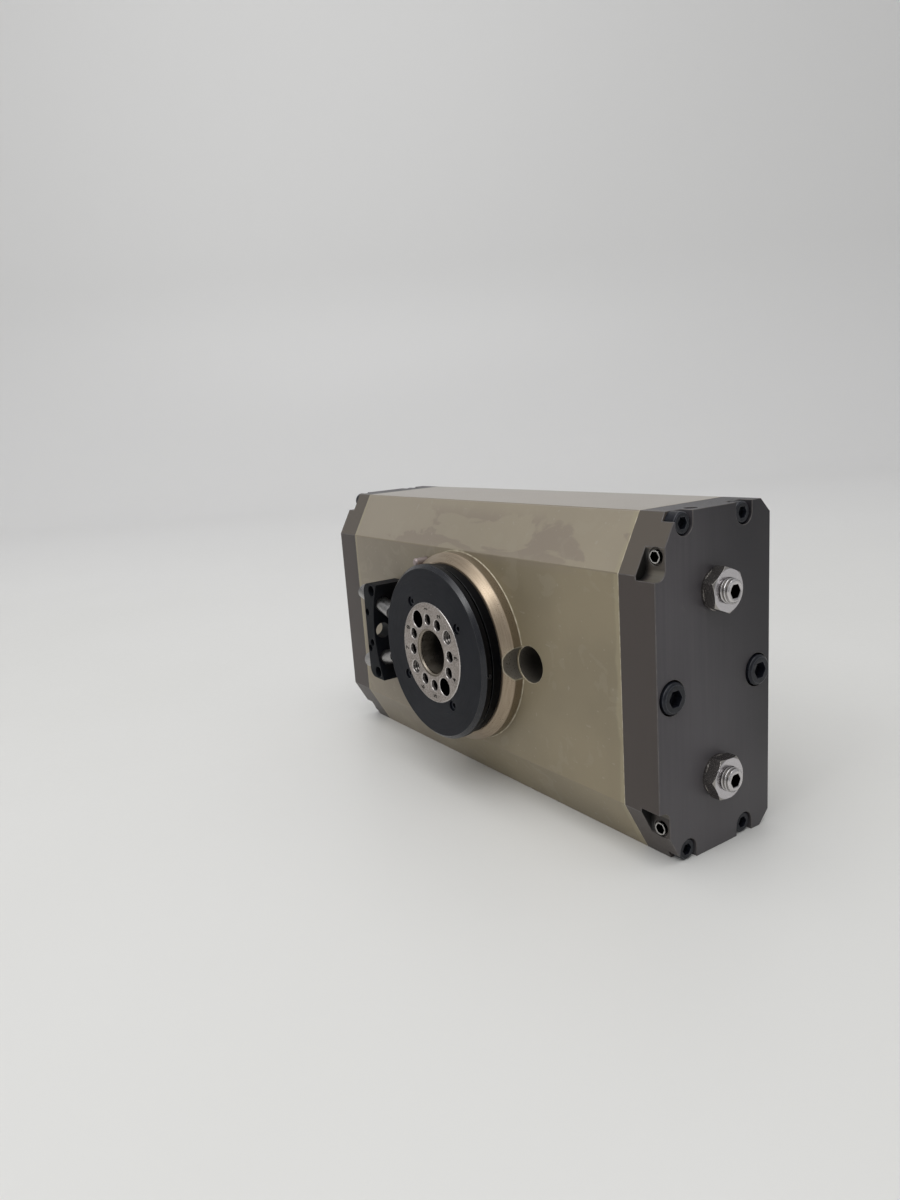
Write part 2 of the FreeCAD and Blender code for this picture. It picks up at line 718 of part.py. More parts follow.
def tooth_space(drawing):
    """The space between two pinion teeth: root arc, involute flanks as arcs, closed outside the tips."""
    pitch = value("pitch_radius")
    root = pitch - value("root_depth")
    tip = value("tip_radius") + value("cut_past")
    pressure = math.radians(value("pressure_angle"))
    base = pitch * math.cos(pressure)
    teeth = value("pinion_teeth")

    def involute(angle):
        return math.tan(angle) - angle

    def half_space(radius):
        turn = math.acos(min(1.0, base / max(radius, base)))
        tooth = (math.pi * value("gear_module") / 2 - value("tooth_play") / 2) / (2 * pitch)
        return math.pi / teeth - (tooth + involute(pressure) - involute(turn))

    middle = math.pi / teeth

    def point(radius, side):
        angle = middle + side * half_space(radius)
        return Vector(radius * math.cos(angle), radius * math.sin(angle), 0)

    start = max(base, root)
    between = (start + tip) / 2
    low = [Vector(root * math.cos(middle + side * half_space(start)),
                  root * math.sin(middle + side * half_space(start)), 0) for side in (-1, 1)]
    bottom = Vector(root * math.cos(middle), root * math.sin(middle), 0)
    edges = [Part.Arc(low[0], bottom, low[1])]
    edges += [Part.LineSegment(low[1], point(start, 1))]
    edges += [Part.Arc(point(start, 1), point(between, 1), point(tip, 1))]
    edges += [Part.LineSegment(point(tip, 1), point(tip, -1))]
    edges += [Part.Arc(point(tip, -1), point(between, -1), point(start, -1))]
    edges += [Part.LineSegment(point(start, -1), low[0])]
    for edge in edges:
        drawing.addConstraint(Sketcher.Constraint("Block", drawing.addGeometry(edge, False)))


def make_shaft():
    """Hollow steel shaft in one piece: flange face, bearing seats and the pinion's teeth."""
    body = new_body("pinion_shaft_body")
    face = "face_diameter / 2"
    flange = "hub_flange_diameter / 2"
    neck = "neck_diameter / 2"
    front = "front_bearing_bore / 2"
    rear = "rear_bearing_bore / 2"
    relief = "relief_diameter / 2"
    bore = "centre_bore / 2"
    groove_back = "rear_bearing_back + retaining_ring_width"
    revolve(body, "Revolution", "turning", [
        (bore, "bore_chamfer"),
        (f"{bore} + bore_chamfer", "0"),
        (face, "0"),
        (face, "disc_back"),
        (flange, "disc_back"),
        (flange, "hub_back"),
        (neck, "hub_back"),
        (neck, "front_y"),
        (front, "front_y"),
        (front, "front_bearing_back"),
        (relief, "front_bearing_back"),
        (relief, "pinion_front"),
        ("tip_radius", "pinion_front"),
        ("tip_radius", "pinion_back"),
        (relief, "pinion_back"),
        (relief, "rear_bearing_front"),
        (rear, "rear_bearing_front"),
        (rear, "rear_bearing_back"),
        (f"{rear} - retaining_groove_depth", "rear_bearing_back"),
        (f"{rear} - retaining_groove_depth", groove_back),
        (rear, groove_back),
        (rear, "shaft_end"),
        (bore, "shaft_end"),
    ])
    space = pocket(body, "tooth_space", "XZ_Plane", "pinion_front", "pinion_back", tooth_space)
    teeth = body.newObject("PartDesign::PolarPattern", "pinion_tooth_spaces")
    teeth.Originals = [space]
    teeth.Axis = (space.Profile[0], ["N_Axis"])
    teeth.Angle = 360
    bind(teeth, "Occurrences", "pinion_teeth")
    body.Tip = teeth
    threads = [on_circle("thread_circle", f"flange_turn + {angle}") for angle in THREAD_ANGLES]
    dowels = [on_circle("thread_circle", f"flange_turn + {angle}") for angle in DOWEL_ANGLES]
    ports = [on_circle("port_circle", f"flange_turn + {angle}") for angle in PORT_ANGLES]
    quarters = THREAD_ANGLES + DOWEL_ANGLES
    screws = [on_circle("disc_screw_circle", f"flange_turn + {angle}") for angle in quarters]
    for name, end, places, hole in (
        ("threads", "flange_thread_depth", threads, "flange_thread"),
        ("dowel_holes", "dowel_depth", dowels, "dowel_hole"),
        ("ports", "shaft_end + cut_past", ports, "port_hole"),
    ):
        pocket(body, name, "XZ_Plane", "-cut_past", end, circles(places, f"{hole} / 2"))
    end = "disc_recess + disc_screw_sink + disc_screw_length"
    pocket(body, "disc_threads", "XZ_Plane", "disc_back - cut_past", end,
           circles(screws, "disc_screw / 2 + thread_play"))
    node(body, "pinion_shaft")
    make_flange_rings(screws)


def make_flange_rings(screws):
    """Black disc screwed on the shaft's flange, and the cam ring that the sensors read behind it."""
    outer = "disc_radius"
    inner = "face_diameter / 2 + running_clearance"
    disc = turned("flange_disc_body", [
        (inner, "disc_recess"),
        (f"{outer} - disc_bevel", "disc_recess"),
        (outer, "disc_recess + disc_bevel"),
        (outer, "disc_back"),
        (inner, "disc_back"),
    ])
    holes = circles(screws, "disc_screw / 2 + thread_play")
    pocket(disc, "screw_holes", "XZ_Plane", "-cut_past", "disc_back + cut_past", holes)
    rim_y = "disc_back - set_screw_wall - set_screw / 2"
    seat = Rotation(Vector(0, 1, 0), radial(value("set_screw_angle")))
    cutter = ring("set_screw_hole", "0", "set_screw / 2 + thread_play",
                  "face_diameter / 2", "disc_radius + cut_past")
    place(cutter, "0", rim_y, "0", seat)
    drilled = doc.addObject("Part::Cut", "flange_disc_drilled")
    drilled.Base = disc
    drilled.Tool = cutter
    node(drilled, "flange_disc")
    screw = set_screw("set_screw_body", "set_screw", "set_screw_length", "set_screw_flats")
    at_x, at_z = on_circle("(2 * (disc_radius - set_screw_sink))", "set_screw_angle")
    group("disc_set_screw", screw, [(at_x, rim_y, at_z)], seat)
    node(ring("cam_ring_body", "hub_flange_diameter / 2 + running_clearance", "cam_radius",
              "cam_front", "hub_back"), "cam_ring")
    stud = set_screw("disc_screw_body", "disc_screw", "disc_screw_length", "disc_screw_flats")
    group("disc_screws", stud, [(x, "disc_recess + disc_screw_sink", z) for x, z in screws], "front")


def make_bearing(name, bore, outside, width, front):
    """A roller bearing: plain inner ring, outer ring with two lips, and the rollers between them."""
    inner = f"{bore} / 2"
    outer = f"{outside} / 2"
    back = f"({front} + {width})"
    inner_track = f"({inner} + race_thickness)"
    outer_track = f"({outer} - race_thickness)"
    lip = f"({outer_track} - roller_lip)"
    node(ring(name + "_inner", inner, inner_track, front, back), name + "_inner_ring")
    node(turned(name + "_outer", [
        (lip, front), (outer, front), (outer, back), (lip, back),
        (lip, f"{back} - roller_lip"), (outer_track, f"{back} - roller_lip"),
        (outer_track, f"{front} + roller_lip"), (lip, f"{front} + roller_lip"),
    ]), name + "_outer_ring")
    roller = doc.addObject("Part::Cylinder", name + "_roller")
    bind(roller, "Radius", f"({outer_track} - {inner_track}) / 2 - roller_clearance")
    bind(roller, "Height", f"{width} - 2 * (roller_lip + roller_clearance)")
    spots = []
    for i in range(round(value("bearing_rollers"))):
        across, up = on_circle(f"({inner_track} + {outer_track})", f"360 * {i} / bearing_rollers")
        spots.append((across, f"{back} - roller_lip - roller_clearance", up))
    group(name + "_rollers", roller, spots, Rotation(Vector(1, 0, 0), 90))


def make_shaft_fittings():
    make_bearing("front_bearing", "front_bearing_bore", "front_bearing_outside", "front_bearing_width",
                 "front_y")
    make_bearing("rear_bearing", "rear_bearing_bore", "rear_bearing_outside", "rear_bearing_width",
                 "rear_bearing_front")
    node(ring("shaft_seal_body", "neck_diameter / 2 + running_clearance", "front_bearing_outside / 2",
              "boss_y", "front_y"), "shaft_seal")
    groove = "rear_bearing_bore / 2 - retaining_groove_depth"
    node(ring("retaining_ring_body", groove, f"{groove} + retaining_groove_depth + retaining_ring_height",
              "rear_bearing_back", "rear_bearing_back + retaining_ring_width"), "retaining_ring")
    cover = ring("rear_cover_body", "rear_cover_opening / 2", "rear_cover_diameter / 2 - running_clearance",
                 "rear_bearing_back", "back_y")
    spots = cover_screw_places()
    holes = circles(spots, "cover_screw / 2 + screw_hole_play")
    pocket(cover, "screw_holes", "XZ_Plane", "rear_bearing_back - cut_past", "back_y + cut_past", holes)
    heads = circles(spots, "cover_screw_head / 2 + screw_hole_play")
    pocket(cover, "head_seats", "XZ_Plane", "back_y - cover_screw_sink", "back_y + cut_past", heads)
    node(cover, "rear_cover")
    screw = socket_screw("cover_screw_body", "cover_screw", "cover_screw_length", "cover_screw_head",
                         "cover_screw_sink", "small_head_edge", "cover_screw_flats")
    group("rear_cover_screws", screw, [(x, "back_y - cover_screw_sink", z) for x, z in spots], "back")


def make_pistons():
    """Two rack pistons alike: the upper one's teeth face down, the lower one's face up."""
    sliding = "bore_diameter / 2 - running_clearance / 2"
    guide = ring("piston_guide_body", "piston_radius - guide_depth", sliding, "0", "guide_width")
    seal = ring("piston_seal_body", "piston_radius - seal_depth", sliding, "0", "seal_width")
    for level, sign, turn in (("upper", "", 0), ("lower", "-", 180)):
        make_piston(level, f"{sign}bore_z", turn)
        guides = [("guide_x", "mid_y", f"{sign}bore_z"), ("-guide_x - guide_width", "mid_y", f"{sign}bore_z")]
        group(level + "_piston_guides", guide, guides, "right")
        seals = [("seal_x", "mid_y", f"{sign}bore_z"), ("-seal_x - seal_width", "mid_y", f"{sign}bore_z")]
        group(level + "_piston_seals", seal, seals, "right")


def make_piston(level, height, turn):
    body = new_body(level + "_piston_body")
    full = "piston_radius"
    guide = f"{full} - guide_depth"
    seal = f"{full} - seal_depth"
    half = [
        ("guide_x", full), ("guide_x", guide),
        ("guide_x + guide_width", guide), ("guide_x + guide_width", full),
        ("seal_x", full), ("seal_x", seal),
        ("seal_x + seal_width", seal), ("seal_x + seal_width", full),
        ("half_piston", full), ("half_piston", "0"),
    ]
    mirrored = [(f"-({across})", radius) for across, radius in reversed(half)]
    revolve(body, "Revolution", "turning", mirrored + half, "H_Axis")
    side = "(piston_radius + cut_past)"
    tip = "-(rack_pitch_z + gear_module)"
    flat = pocket(body, "rack_flat", "XZ_Plane", f"-{side}", side,
                  lambda s: rectangle(s, "-rack_length / 2", "rack_length / 2", f"-{side}", tip))
    slope = "tan(pressure_angle * 1deg)"
    half_gap = "(tooth_pitch / 4 + tooth_play / 4)"
    reach = value("rack_length") / 2 - value(f"{half_gap} + gear_module * {slope}")
    each_way = int(reach / value("tooth_pitch"))
    first = f"(-{each_way} * tooth_pitch)"
    root = "-(rack_pitch_z - root_depth)"
    root_half = f"({half_gap} - root_depth * {slope})"
    open_half = f"({half_gap} + (gear_module + cut_past) * {slope})"

    def gap(drawing):
        past = f"{tip} - cut_past"
        polygon(drawing, [
            (f"{first} - {open_half}", past), (f"{first} + {open_half}", past),
            (f"{first} + {root_half}", root), (f"{first} - {root_half}", root),
        ])

    cut = pocket(body, "rack_gap", "XZ_Plane", f"-{side}", side, gap)
    rack = body.newObject("PartDesign::LinearPattern", level + "_rack_gaps")
    rack.Originals = [cut]
    rack.Direction = (flat.Profile[0], ["H_Axis"])
    bind(rack, "Length", f"{2 * each_way} * tooth_pitch")
    rack.Occurrences = 2 * each_way + 1
    body.Tip = rack
    place(body, "0", "mid_y", height, Rotation(Vector(0, 1, 0), turn))
    node(body, level + "_piston")


def make_sensors():
    """Bracket beside the flange: three radial seats, two of them with a sensor."""
    body = new_body("sensor_bracket_body")

    def outline(drawing):
        top = value("bracket_top")
        outer = value("bracket_outer_x")
        inner = value("bracket_inner_radius")
        rounding = value("bracket_round")
        corner = math.sqrt(inner ** 2 - top ** 2)
        near = rounding * (1 - math.sqrt(0.5))
        edges = [Part.Arc(Vector(-corner, top, 0), Vector(-inner, 0, 0), Vector(-corner, -top, 0))]
        edges += [Part.LineSegment(Vector(-corner, -top, 0), Vector(rounding - outer, -top, 0))]
        edges += [Part.Arc(Vector(rounding - outer, -top, 0), Vector(near - outer, near - top, 0),
                           Vector(-outer, rounding - top, 0))]
        edges += [Part.LineSegment(Vector(-outer, rounding - top, 0), Vector(-outer, top - rounding, 0))]
        edges += [Part.Arc(Vector(-outer, top - rounding, 0), Vector(near - outer, top - near, 0),
                           Vector(rounding - outer, top, 0))]
        edges += [Part.LineSegment(Vector(rounding - outer, top, 0), Vector(-corner, top, 0))]
        for edge in edges:
            drawing.addConstraint(Sketcher.Constraint("Block", drawing.addGeometry(edge, False)))

    pad(body, "block", "XZ_Plane", "bracket_front", "front_y", outline)
    screws = bracket_screw_places()
    heads = circles(screws, "bracket_screw_head / 2 + running_clearance")
    seat = "bracket_front + bracket_screw_sink + bracket_screw_head_height"
    pocket(body, "head_seats", "XZ_Plane", "bracket_front - cut_past", seat, heads)
    holes = circles(screws, "bracket_screw / 2 + screw_hole_play / 2")
    pocket(body, "screw_holes", "XZ_Plane", "bracket_front - cut_past", "front_y + cut_past", holes)
    clamps = clamp_screw_places()
    threads = circles(clamps, "clamp_screw / 2 + thread_play")
    end = "bracket_front + clamp_screw_sink + clamp_screw_length"
    pocket(body, "clamp_threads", "XZ_Plane", "bracket_front - cut_past", end, threads)
    bored = body
    angle = value("sensor_angle")
    reach = "(bracket_outer_x + bracket_height)"
    for name, turn in (("upper", 180 - angle), ("middle", 180), ("lower", 180 + angle)):
        drill = doc.addObject("Part::Cylinder", name + "_sensor_drill")
        bind(drill, "Radius", "sensor_hole")
        bind(drill, "Height", reach)
        place(drill, "0", "sensor_y", "0", Rotation(Vector(0, 0, 1), radial(turn)))
        cut = doc.addObject("Part::Cut", name + "_sensor_seat")
        cut.Base = bored
        cut.Tool = drill
        bored = cut
    node(bored, "sensor_bracket")
    fixing = socket_screw("bracket_screw_body", "bracket_screw", "bracket_screw_length", "bracket_screw_head",
                          "bracket_screw_head_height", "small_head_edge", "bracket_screw_flats")
    group("bracket_screws", fixing, [(x, seat, z) for x, z in screws], "front")
    clamp = set_screw("clamp_screw_body", "clamp_screw", "clamp_screw_length", "clamp_screw_flats")
    top = "bracket_front + clamp_screw_sink"
    group("sensor_clamp_screws", clamp, [(x, top, z) for x, z in clamps], "front")
    radius = "sensor_diameter / 2"
    far = "sensor_tip_radius + sensor_length"
    tube = turned("sensor_body", [
        ("0", "sensor_tip_radius + sensor_face_length"),
        (radius, "sensor_tip_radius + sensor_face_length"),
        (radius, f"{far} - sensor_end_chamfer"),
        (f"{radius} - sensor_end_chamfer", far),
        ("0", far),
    ])
    tip = turned("sensor_face_body", [
        ("0", "sensor_tip_radius"),
        (f"{radius} - sensor_face_step", "sensor_tip_radius"),
        (f"{radius} - sensor_face_step", "sensor_tip_radius + sensor_face_length"),
        ("0", "sensor_tip_radius + sensor_face_length"),
    ])
    for level, turn in (("upper", 180 - angle), ("lower", 180 + angle)):
        out = Rotation(Vector(0, 1, 0), radial(turn))
        group("sensor_" + level, tube, [("0", "sensor_y", "0")], out)
        group(f"sensor_{level}_face", tip, [("0", "sensor_y", "0")], out)


def make_boss_pin():
    pin = "boss_pin / 2"
    body = turned("boss_pin_body", [
        ("0", "-boss_pin_depth"),
        (pin, "-boss_pin_depth"),
        (pin, "boss_pin_reach - boss_pin_chamfer"),
        (f"{pin} - boss_pin_chamfer", "boss_pin_reach"),
        ("0", "boss_pin_reach"),
    ])
    across, up = on_circle("boss_pin_circle", "boss_pin_angle")
    group("boss_pin", body, [(across, "front_y", up)], "front")


make_housing()
make_cap("end_cap_right", True)
make_cap("end_cap_left", False)
make_cap_fittings()
make_stops()
make_shaft()
make_shaft_fittings()
make_pistons()
make_sensors()
make_boss_pin()
doc.recompute()

for item in doc.Objects:
    if "Invalid" in item.State or "Error" in item.State:
        raise RuntimeError(f"{item.Name} did not build: {item.State}")
for part in NODES:
    if part.Shape.isNull() or not part.Shape.isValid():
        raise RuntimeError(f"{part.Label} has no valid shape")

os.makedirs("parts", exist_ok=True)
for part in NODES:
    part.Shape.exportStep(f"parts/{part.Label}.step")
    print(part.Label, len(part.Shape.Solids), "solids", round(part.Shape.Volume, 1), "mm3")
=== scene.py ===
import json
import math

import bmesh
import bpy
from mathutils import Euler, Matrix, Vector

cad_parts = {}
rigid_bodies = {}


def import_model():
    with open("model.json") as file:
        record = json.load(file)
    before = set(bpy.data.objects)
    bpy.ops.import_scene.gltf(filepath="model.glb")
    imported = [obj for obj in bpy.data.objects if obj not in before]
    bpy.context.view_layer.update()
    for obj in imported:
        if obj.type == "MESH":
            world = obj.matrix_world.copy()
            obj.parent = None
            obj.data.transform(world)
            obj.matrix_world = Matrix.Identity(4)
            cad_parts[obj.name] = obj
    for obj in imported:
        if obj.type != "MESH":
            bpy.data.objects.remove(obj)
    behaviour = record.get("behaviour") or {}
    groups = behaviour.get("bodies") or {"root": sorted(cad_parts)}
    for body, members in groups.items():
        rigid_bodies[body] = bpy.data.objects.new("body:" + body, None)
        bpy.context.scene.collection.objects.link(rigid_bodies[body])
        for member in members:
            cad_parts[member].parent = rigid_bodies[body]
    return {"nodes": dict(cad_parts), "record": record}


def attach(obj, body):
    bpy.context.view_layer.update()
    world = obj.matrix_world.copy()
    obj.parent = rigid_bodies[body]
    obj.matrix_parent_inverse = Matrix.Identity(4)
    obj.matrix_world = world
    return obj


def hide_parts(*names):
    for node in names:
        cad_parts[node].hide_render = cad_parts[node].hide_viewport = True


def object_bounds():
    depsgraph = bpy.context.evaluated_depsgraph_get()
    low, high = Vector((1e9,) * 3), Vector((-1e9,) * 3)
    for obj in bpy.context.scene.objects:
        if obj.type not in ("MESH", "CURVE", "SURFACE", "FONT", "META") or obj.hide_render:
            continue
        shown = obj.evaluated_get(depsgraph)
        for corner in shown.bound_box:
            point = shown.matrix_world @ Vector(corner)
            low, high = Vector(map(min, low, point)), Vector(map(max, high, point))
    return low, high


for leftover in list(bpy.data.objects):
    bpy.data.objects.remove(leftover)
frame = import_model()
CAD_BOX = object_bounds()
NODES = frame["nodes"]
MOUNTS = {row["name"]: row for row in frame["record"]["mounts"]}
MM = 0.001


def span(node, axis):
    """Lowest and highest place of a CAD node along an axis, in millimetres."""
    places = [corner.co["XYZ".index(axis)] / MM for corner in NODES[node].data.vertices]
    return round(min(places), 4), round(max(places), 4)


# Camera of the photograph: place in millimetres, angles in degrees, lens for a 36 mm sensor.
CAMERA_PLACE = (261.13, -160.07, 83.90)
CAMERA_AZIMUTH = 56.85
CAMERA_ELEVATION = 11.81
CAMERA_ROLL = -4.17
CAMERA_LENS = 25.01
SENSOR_WIDTH = 36.0

# Sizes of the CAD model that the added details follow, in millimetres and degrees, from the frame where it
# tells them. Here those of the block, its chamfers, its boss and its mounting holes.
FRONT_Y, BACK_Y = span("end_cap_right", "Y")
MID_Y = (FRONT_Y + BACK_Y) / 2
HALF_HEIGHT = span("housing", "Z")[1]
CHAMFER_LOW_Z = 37.2
CHAMFER_BACK_Y = 25.4
BOSS_EDGE_Y = 11.8
BOSS_RADIUS = 36.8
MOUNT_X = MOUNTS["mounting_holes"]["dims"]["spacing_x_mm"] / 2
MOUNT_RADIUS = 6.6
MOUNT_CUT_RADIUS = 7.1

# The end caps, their air ports, throttle screws and stop screws.
JOINT_X = span("housing", "X")[1]
OUTER_X = span("end_cap_right", "X")[1]
AIR_PORT = [number / MM for number in MOUNTS["air_port_upper"]["pos_m"][:2]]
THROTTLE_Y = span("throttle_screws", "Y")[0]
POCKET_WALL_X = 91.4
POCKET_FLOOR_Y = 20.1
POCKET_LOW_Z = 35.9
NUT_END_X = span("lock_nut_upper", "X")[1]
BORE_Z = sum(span("stop_screw_upper", "Z")) / 2
STOP_END_X = span("stop_screw_upper", "X")[1]
STOP_TIP_X = 80.58
STOP_RADIUS = 3.99

# The flange. Its pattern is turned by FLANGE_TURN, and the angles of its holes are counted from there.
FLANGE_TURN = 3.5
PORT_CIRCLE_RADIUS = 12.8
PORT_ANGLES = (90, 60, 0, 330, 270, 240, 180, 150)
TOOL_CIRCLE_RADIUS = MOUNTS["flange_threads"]["dims"]["pcd_mm"] / 2
TOOL_ANGLES = (30, 210)
PLAIN_HOLES_ANGLE = 120
PLAIN_HOLE_RADIUS = MOUNTS["flange_dowels"]["dims"]["hole_r_mm"]
BORE_RADIUS = MOUNTS["output_bore"]["dims"]["r_mm"]
BORE_CHAMFER = 0.8
DISC_BEVEL_RADIUS = 32.4
DISC_BEVEL_Y = 1.6

# Threads in holes: radius of the wall, pitch, height of the ridge, and where it starts and ends below the
# hole's mouth.
TOOL_HOLE_RADIUS = MOUNTS["flange_threads"]["dims"]["hole_r_mm"]
AIR_PORT_RADIUS = MOUNTS["air_port_upper"]["dims"]["r_mm"]
PORT_THREAD = {"radius": 2.1, "pitch": 0.8, "ridge": 0.30, "start": 2.4, "end": 6.0}
TOOL_THREAD = {"radius": TOOL_HOLE_RADIUS, "pitch": 1.0, "ridge": 0.38, "start": 0.8, "end": 8.0}
AIR_THREAD = {"radius": AIR_PORT_RADIUS, "pitch": 0.8, "ridge": 0.30, "start": 0.8, "end": 5.0}

# Figures beside the ports: the circle they stand on, their size, the weight added to their strokes, half
# their thickness, and where their middle lies.
FIGURE_CIRCLE_RADIUS = 17.0
FIGURE_SIZE = 3.0
FIGURE_WEIGHT = 0.09
FIGURE_EXTRUDE = 0.02
FIGURE_Y = 0.01

# Paint on a wall reaches this far past it, and added pieces are sunk this far into it.
PAST_WALL = 0.04
SUNK = 0.03

# Room light: its strength at a low and a high direction of view, and its colour.
ROOM_HEIGHTS = (-0.1, 0.8)
ROOM_STRENGTHS = (0.33, 0.52)
ROOM_COLOUR = (0.97, 0.98, 1.0, 1)
# Square lamps aimed at the origin: place and size in metres, power in watts.
LAMPS = {
    "window": ((0.13, -1.25, 1.03), 0.5, 3.2),
    "ceiling": ((0.25, -0.6, 1.9), 2.2, 25),
}


class Paint:
    """A material's node tree, built up one node at a time in the part's own coordinates."""

    def __init__(self, name, metallic=0.0, **sockets):
        self.material = bpy.data.materials.new(name)
        self.material.use_nodes = True
        self.tree = self.material.node_tree
        self.shader = self.tree.nodes["Principled BSDF"]
        self.shader.inputs["Metallic"].default_value = metallic
        for socket, number in sockets.items():
            self.shader.inputs[socket.replace("_", " ")].default_value = number
        self.place = self.add("ShaderNodeTexCoord").outputs["Object"]
        split = self.add("ShaderNodeSeparateXYZ", {"Vector": self.place})
        self.x, self.y, self.z = split.outputs

    def add(self, kind, inputs=None, **settings):
        """A new node with these settings and inputs."""
        node = self.tree.nodes.new(kind)
        for key, setting in settings.items():
            setattr(node, key, setting)
        for socket, number in (inputs or {}).items():
            self.feed(node.inputs[socket], number)
        return node

    def feed(self, socket, number):
        """Links a socket to another node's output, or sets it to a constant."""
        if isinstance(number, bpy.types.NodeSocket):
            self.tree.links.new(number, socket)
        else:
            socket.default_value = number

    def math(self, operation, first, second=0.0):
        """What one step of arithmetic gives."""
        node = self.add("ShaderNodeMath", operation=operation)
        self.feed(node.inputs[0], first)
        self.feed(node.inputs[1], second)
        return node.outputs[0]

    def times(self, *factors):
        """Product of masks, noises and plain factors."""
        product = factors[0]
        for factor in factors[1:]:
            product = self.math("MULTIPLY", product, factor)
        return product

    def any_of(self, *masks):
        """One where any of the masks is one."""
        widest = masks[0]
        for mask in masks[1:]:
            widest = self.math("MAXIMUM", widest, mask)
        return widest

    def blend(self, first, second, share):
        """The first noise with a share of the second."""
        return self.math("ADD", self.times(first, 1 - share), self.times(second, share))

    def mix(self, share, first, second):
        """The first colour with a share of the second."""
        node = self.add("ShaderNodeMix", data_type="RGBA")
        for socket, colour in ((node.inputs[0], share), (node.inputs[6], first), (node.inputs[7], second)):
            self.feed(socket, (*colour, 1) if isinstance(colour, tuple) else colour)
        return node.outputs[2]

    def band(self, number, low, high, to_low=0.0, to_high=1.0):
        """Runs from to_low to to_high as the number goes from low to high."""
        names = {"Value": number, "From Min": low, "From Max": high, "To Min": to_low, "To Max": to_high}
        return self.add("ShaderNodeMapRange", names, interpolation_type="SMOOTHSTEP").outputs[0]

    def rise(self, place, low, high, to_low=0.0, to_high=1.0):
        """A band between two places in millimetres."""
        return self.band(place, low * MM, high * MM, to_low, to_high)

    def beyond(self, place, limit, soft=0.1):
        """One where the place is past the limit, in millimetres."""
        return self.rise(place, limit - soft / 2, limit + soft / 2)

    def inside(self, place, limit, soft=0.04):
        """One where the place is short of the limit, in millimetres."""
        return self.rise(place, limit - soft / 2, limit + soft / 2, 1.0, 0.0)

    def off_middle(self, place):
        """Distance from the middle plane, alike on both sides."""
        return self.math("ABSOLUTE", place)

    def reach(self, across, up):
        """Distance of a place from an axis that it lies this far across and up from."""
        squares = [self.times(number, number) for number in (across, up)]
        return self.math("SQRT", self.math("ADD", *squares))

    def radius(self):
        """Distance from the swivel axis."""
        return self.reach(self.x, self.z)

    def noise(self, size, detail=2.0, stretch=(1, 1, 1), place=None, distortion=0.0):
        """Noise whose features are about size millimetres, longer along an axis with a small stretch."""
        where = self.add("ShaderNodeMapping", {"Vector": place or self.place, "Scale": stretch}).outputs[0]
        names = {"Vector": where, "Scale": 1 / (size * MM), "Detail": detail, "Distortion": distortion}
        return self.add("ShaderNodeTexNoise", names).outputs["Fac"]

    def rings(self, size):
        """Noise drawn out along circles about the swivel axis, as turning leaves it."""
        angle = self.math("ARCTAN2", self.z, self.x)
        parts = {"X": self.radius(), "Y": self.times(angle, 2 * MM), "Z": self.y}
        return self.noise(size, 3.0, place=self.add("ShaderNodeCombineXYZ", parts).outputs[0])

    def turned(self, amount):
        """Stretches highlights outwards from the swivel axis, as fine turning does."""
        outwards = self.add("ShaderNodeCombineXYZ", {"X": self.x, "Z": self.z}).outputs[0]
        ways = {"vector_type": "VECTOR", "convert_from": "OBJECT", "convert_to": "WORLD"}
        outwards = self.add("ShaderNodeVectorTransform", {"Vector": outwards}, **ways).outputs[0]
        self.feed(self.shader.inputs["Tangent"], outwards)
        self.feed(self.shader.inputs["Anisotropic"], amount)

    def bump(self, height, strength, depth):
        """Relief from a noise, with its depth in millimetres."""
        names = {"Height": height, "Strength": strength, "Distance": depth * MM}
        self.feed(self.shader.inputs["Normal"], self.add("ShaderNodeBump", names).outputs[0])

    def finish(self, colour, roughness):
        """Feeds the two main inputs and gives the material."""
        self.feed(self.shader.inputs["Base Color"], colour)
        self.feed(self.shader.inputs["Roughness"], roughness)
        return self.material


def from_mounts(paint):
    """Distance from the axis of the nearer mounting hole."""
    aside = paint.math("SUBTRACT", paint.off_middle(paint.x), MOUNT_X * MM)
    return paint.reach(aside, paint.z)


def block_stains(paint):
    """Blots with clear outlines on the upper chamfer, more of them to the right."""
    blots = paint.noise(30, 5.0, stretch=(0.6, 1.6, 1.6), distortion=0.6)
    more = paint.rise(paint.x, -60, 40, -0.05, 0.06)
    spread = paint.band(paint.math("ADD", blots, more), 0.505, 0.525)
    above = paint.rise(paint.z, CHAMFER_LOW_Z - 4, CHAMFER_LOW_Z + 3)
    below = paint.rise(paint.z, HALF_HEIGHT - 7, HALF_HEIGHT - 1, 1.0, 0.0)
    return paint.times(spread, above, below)


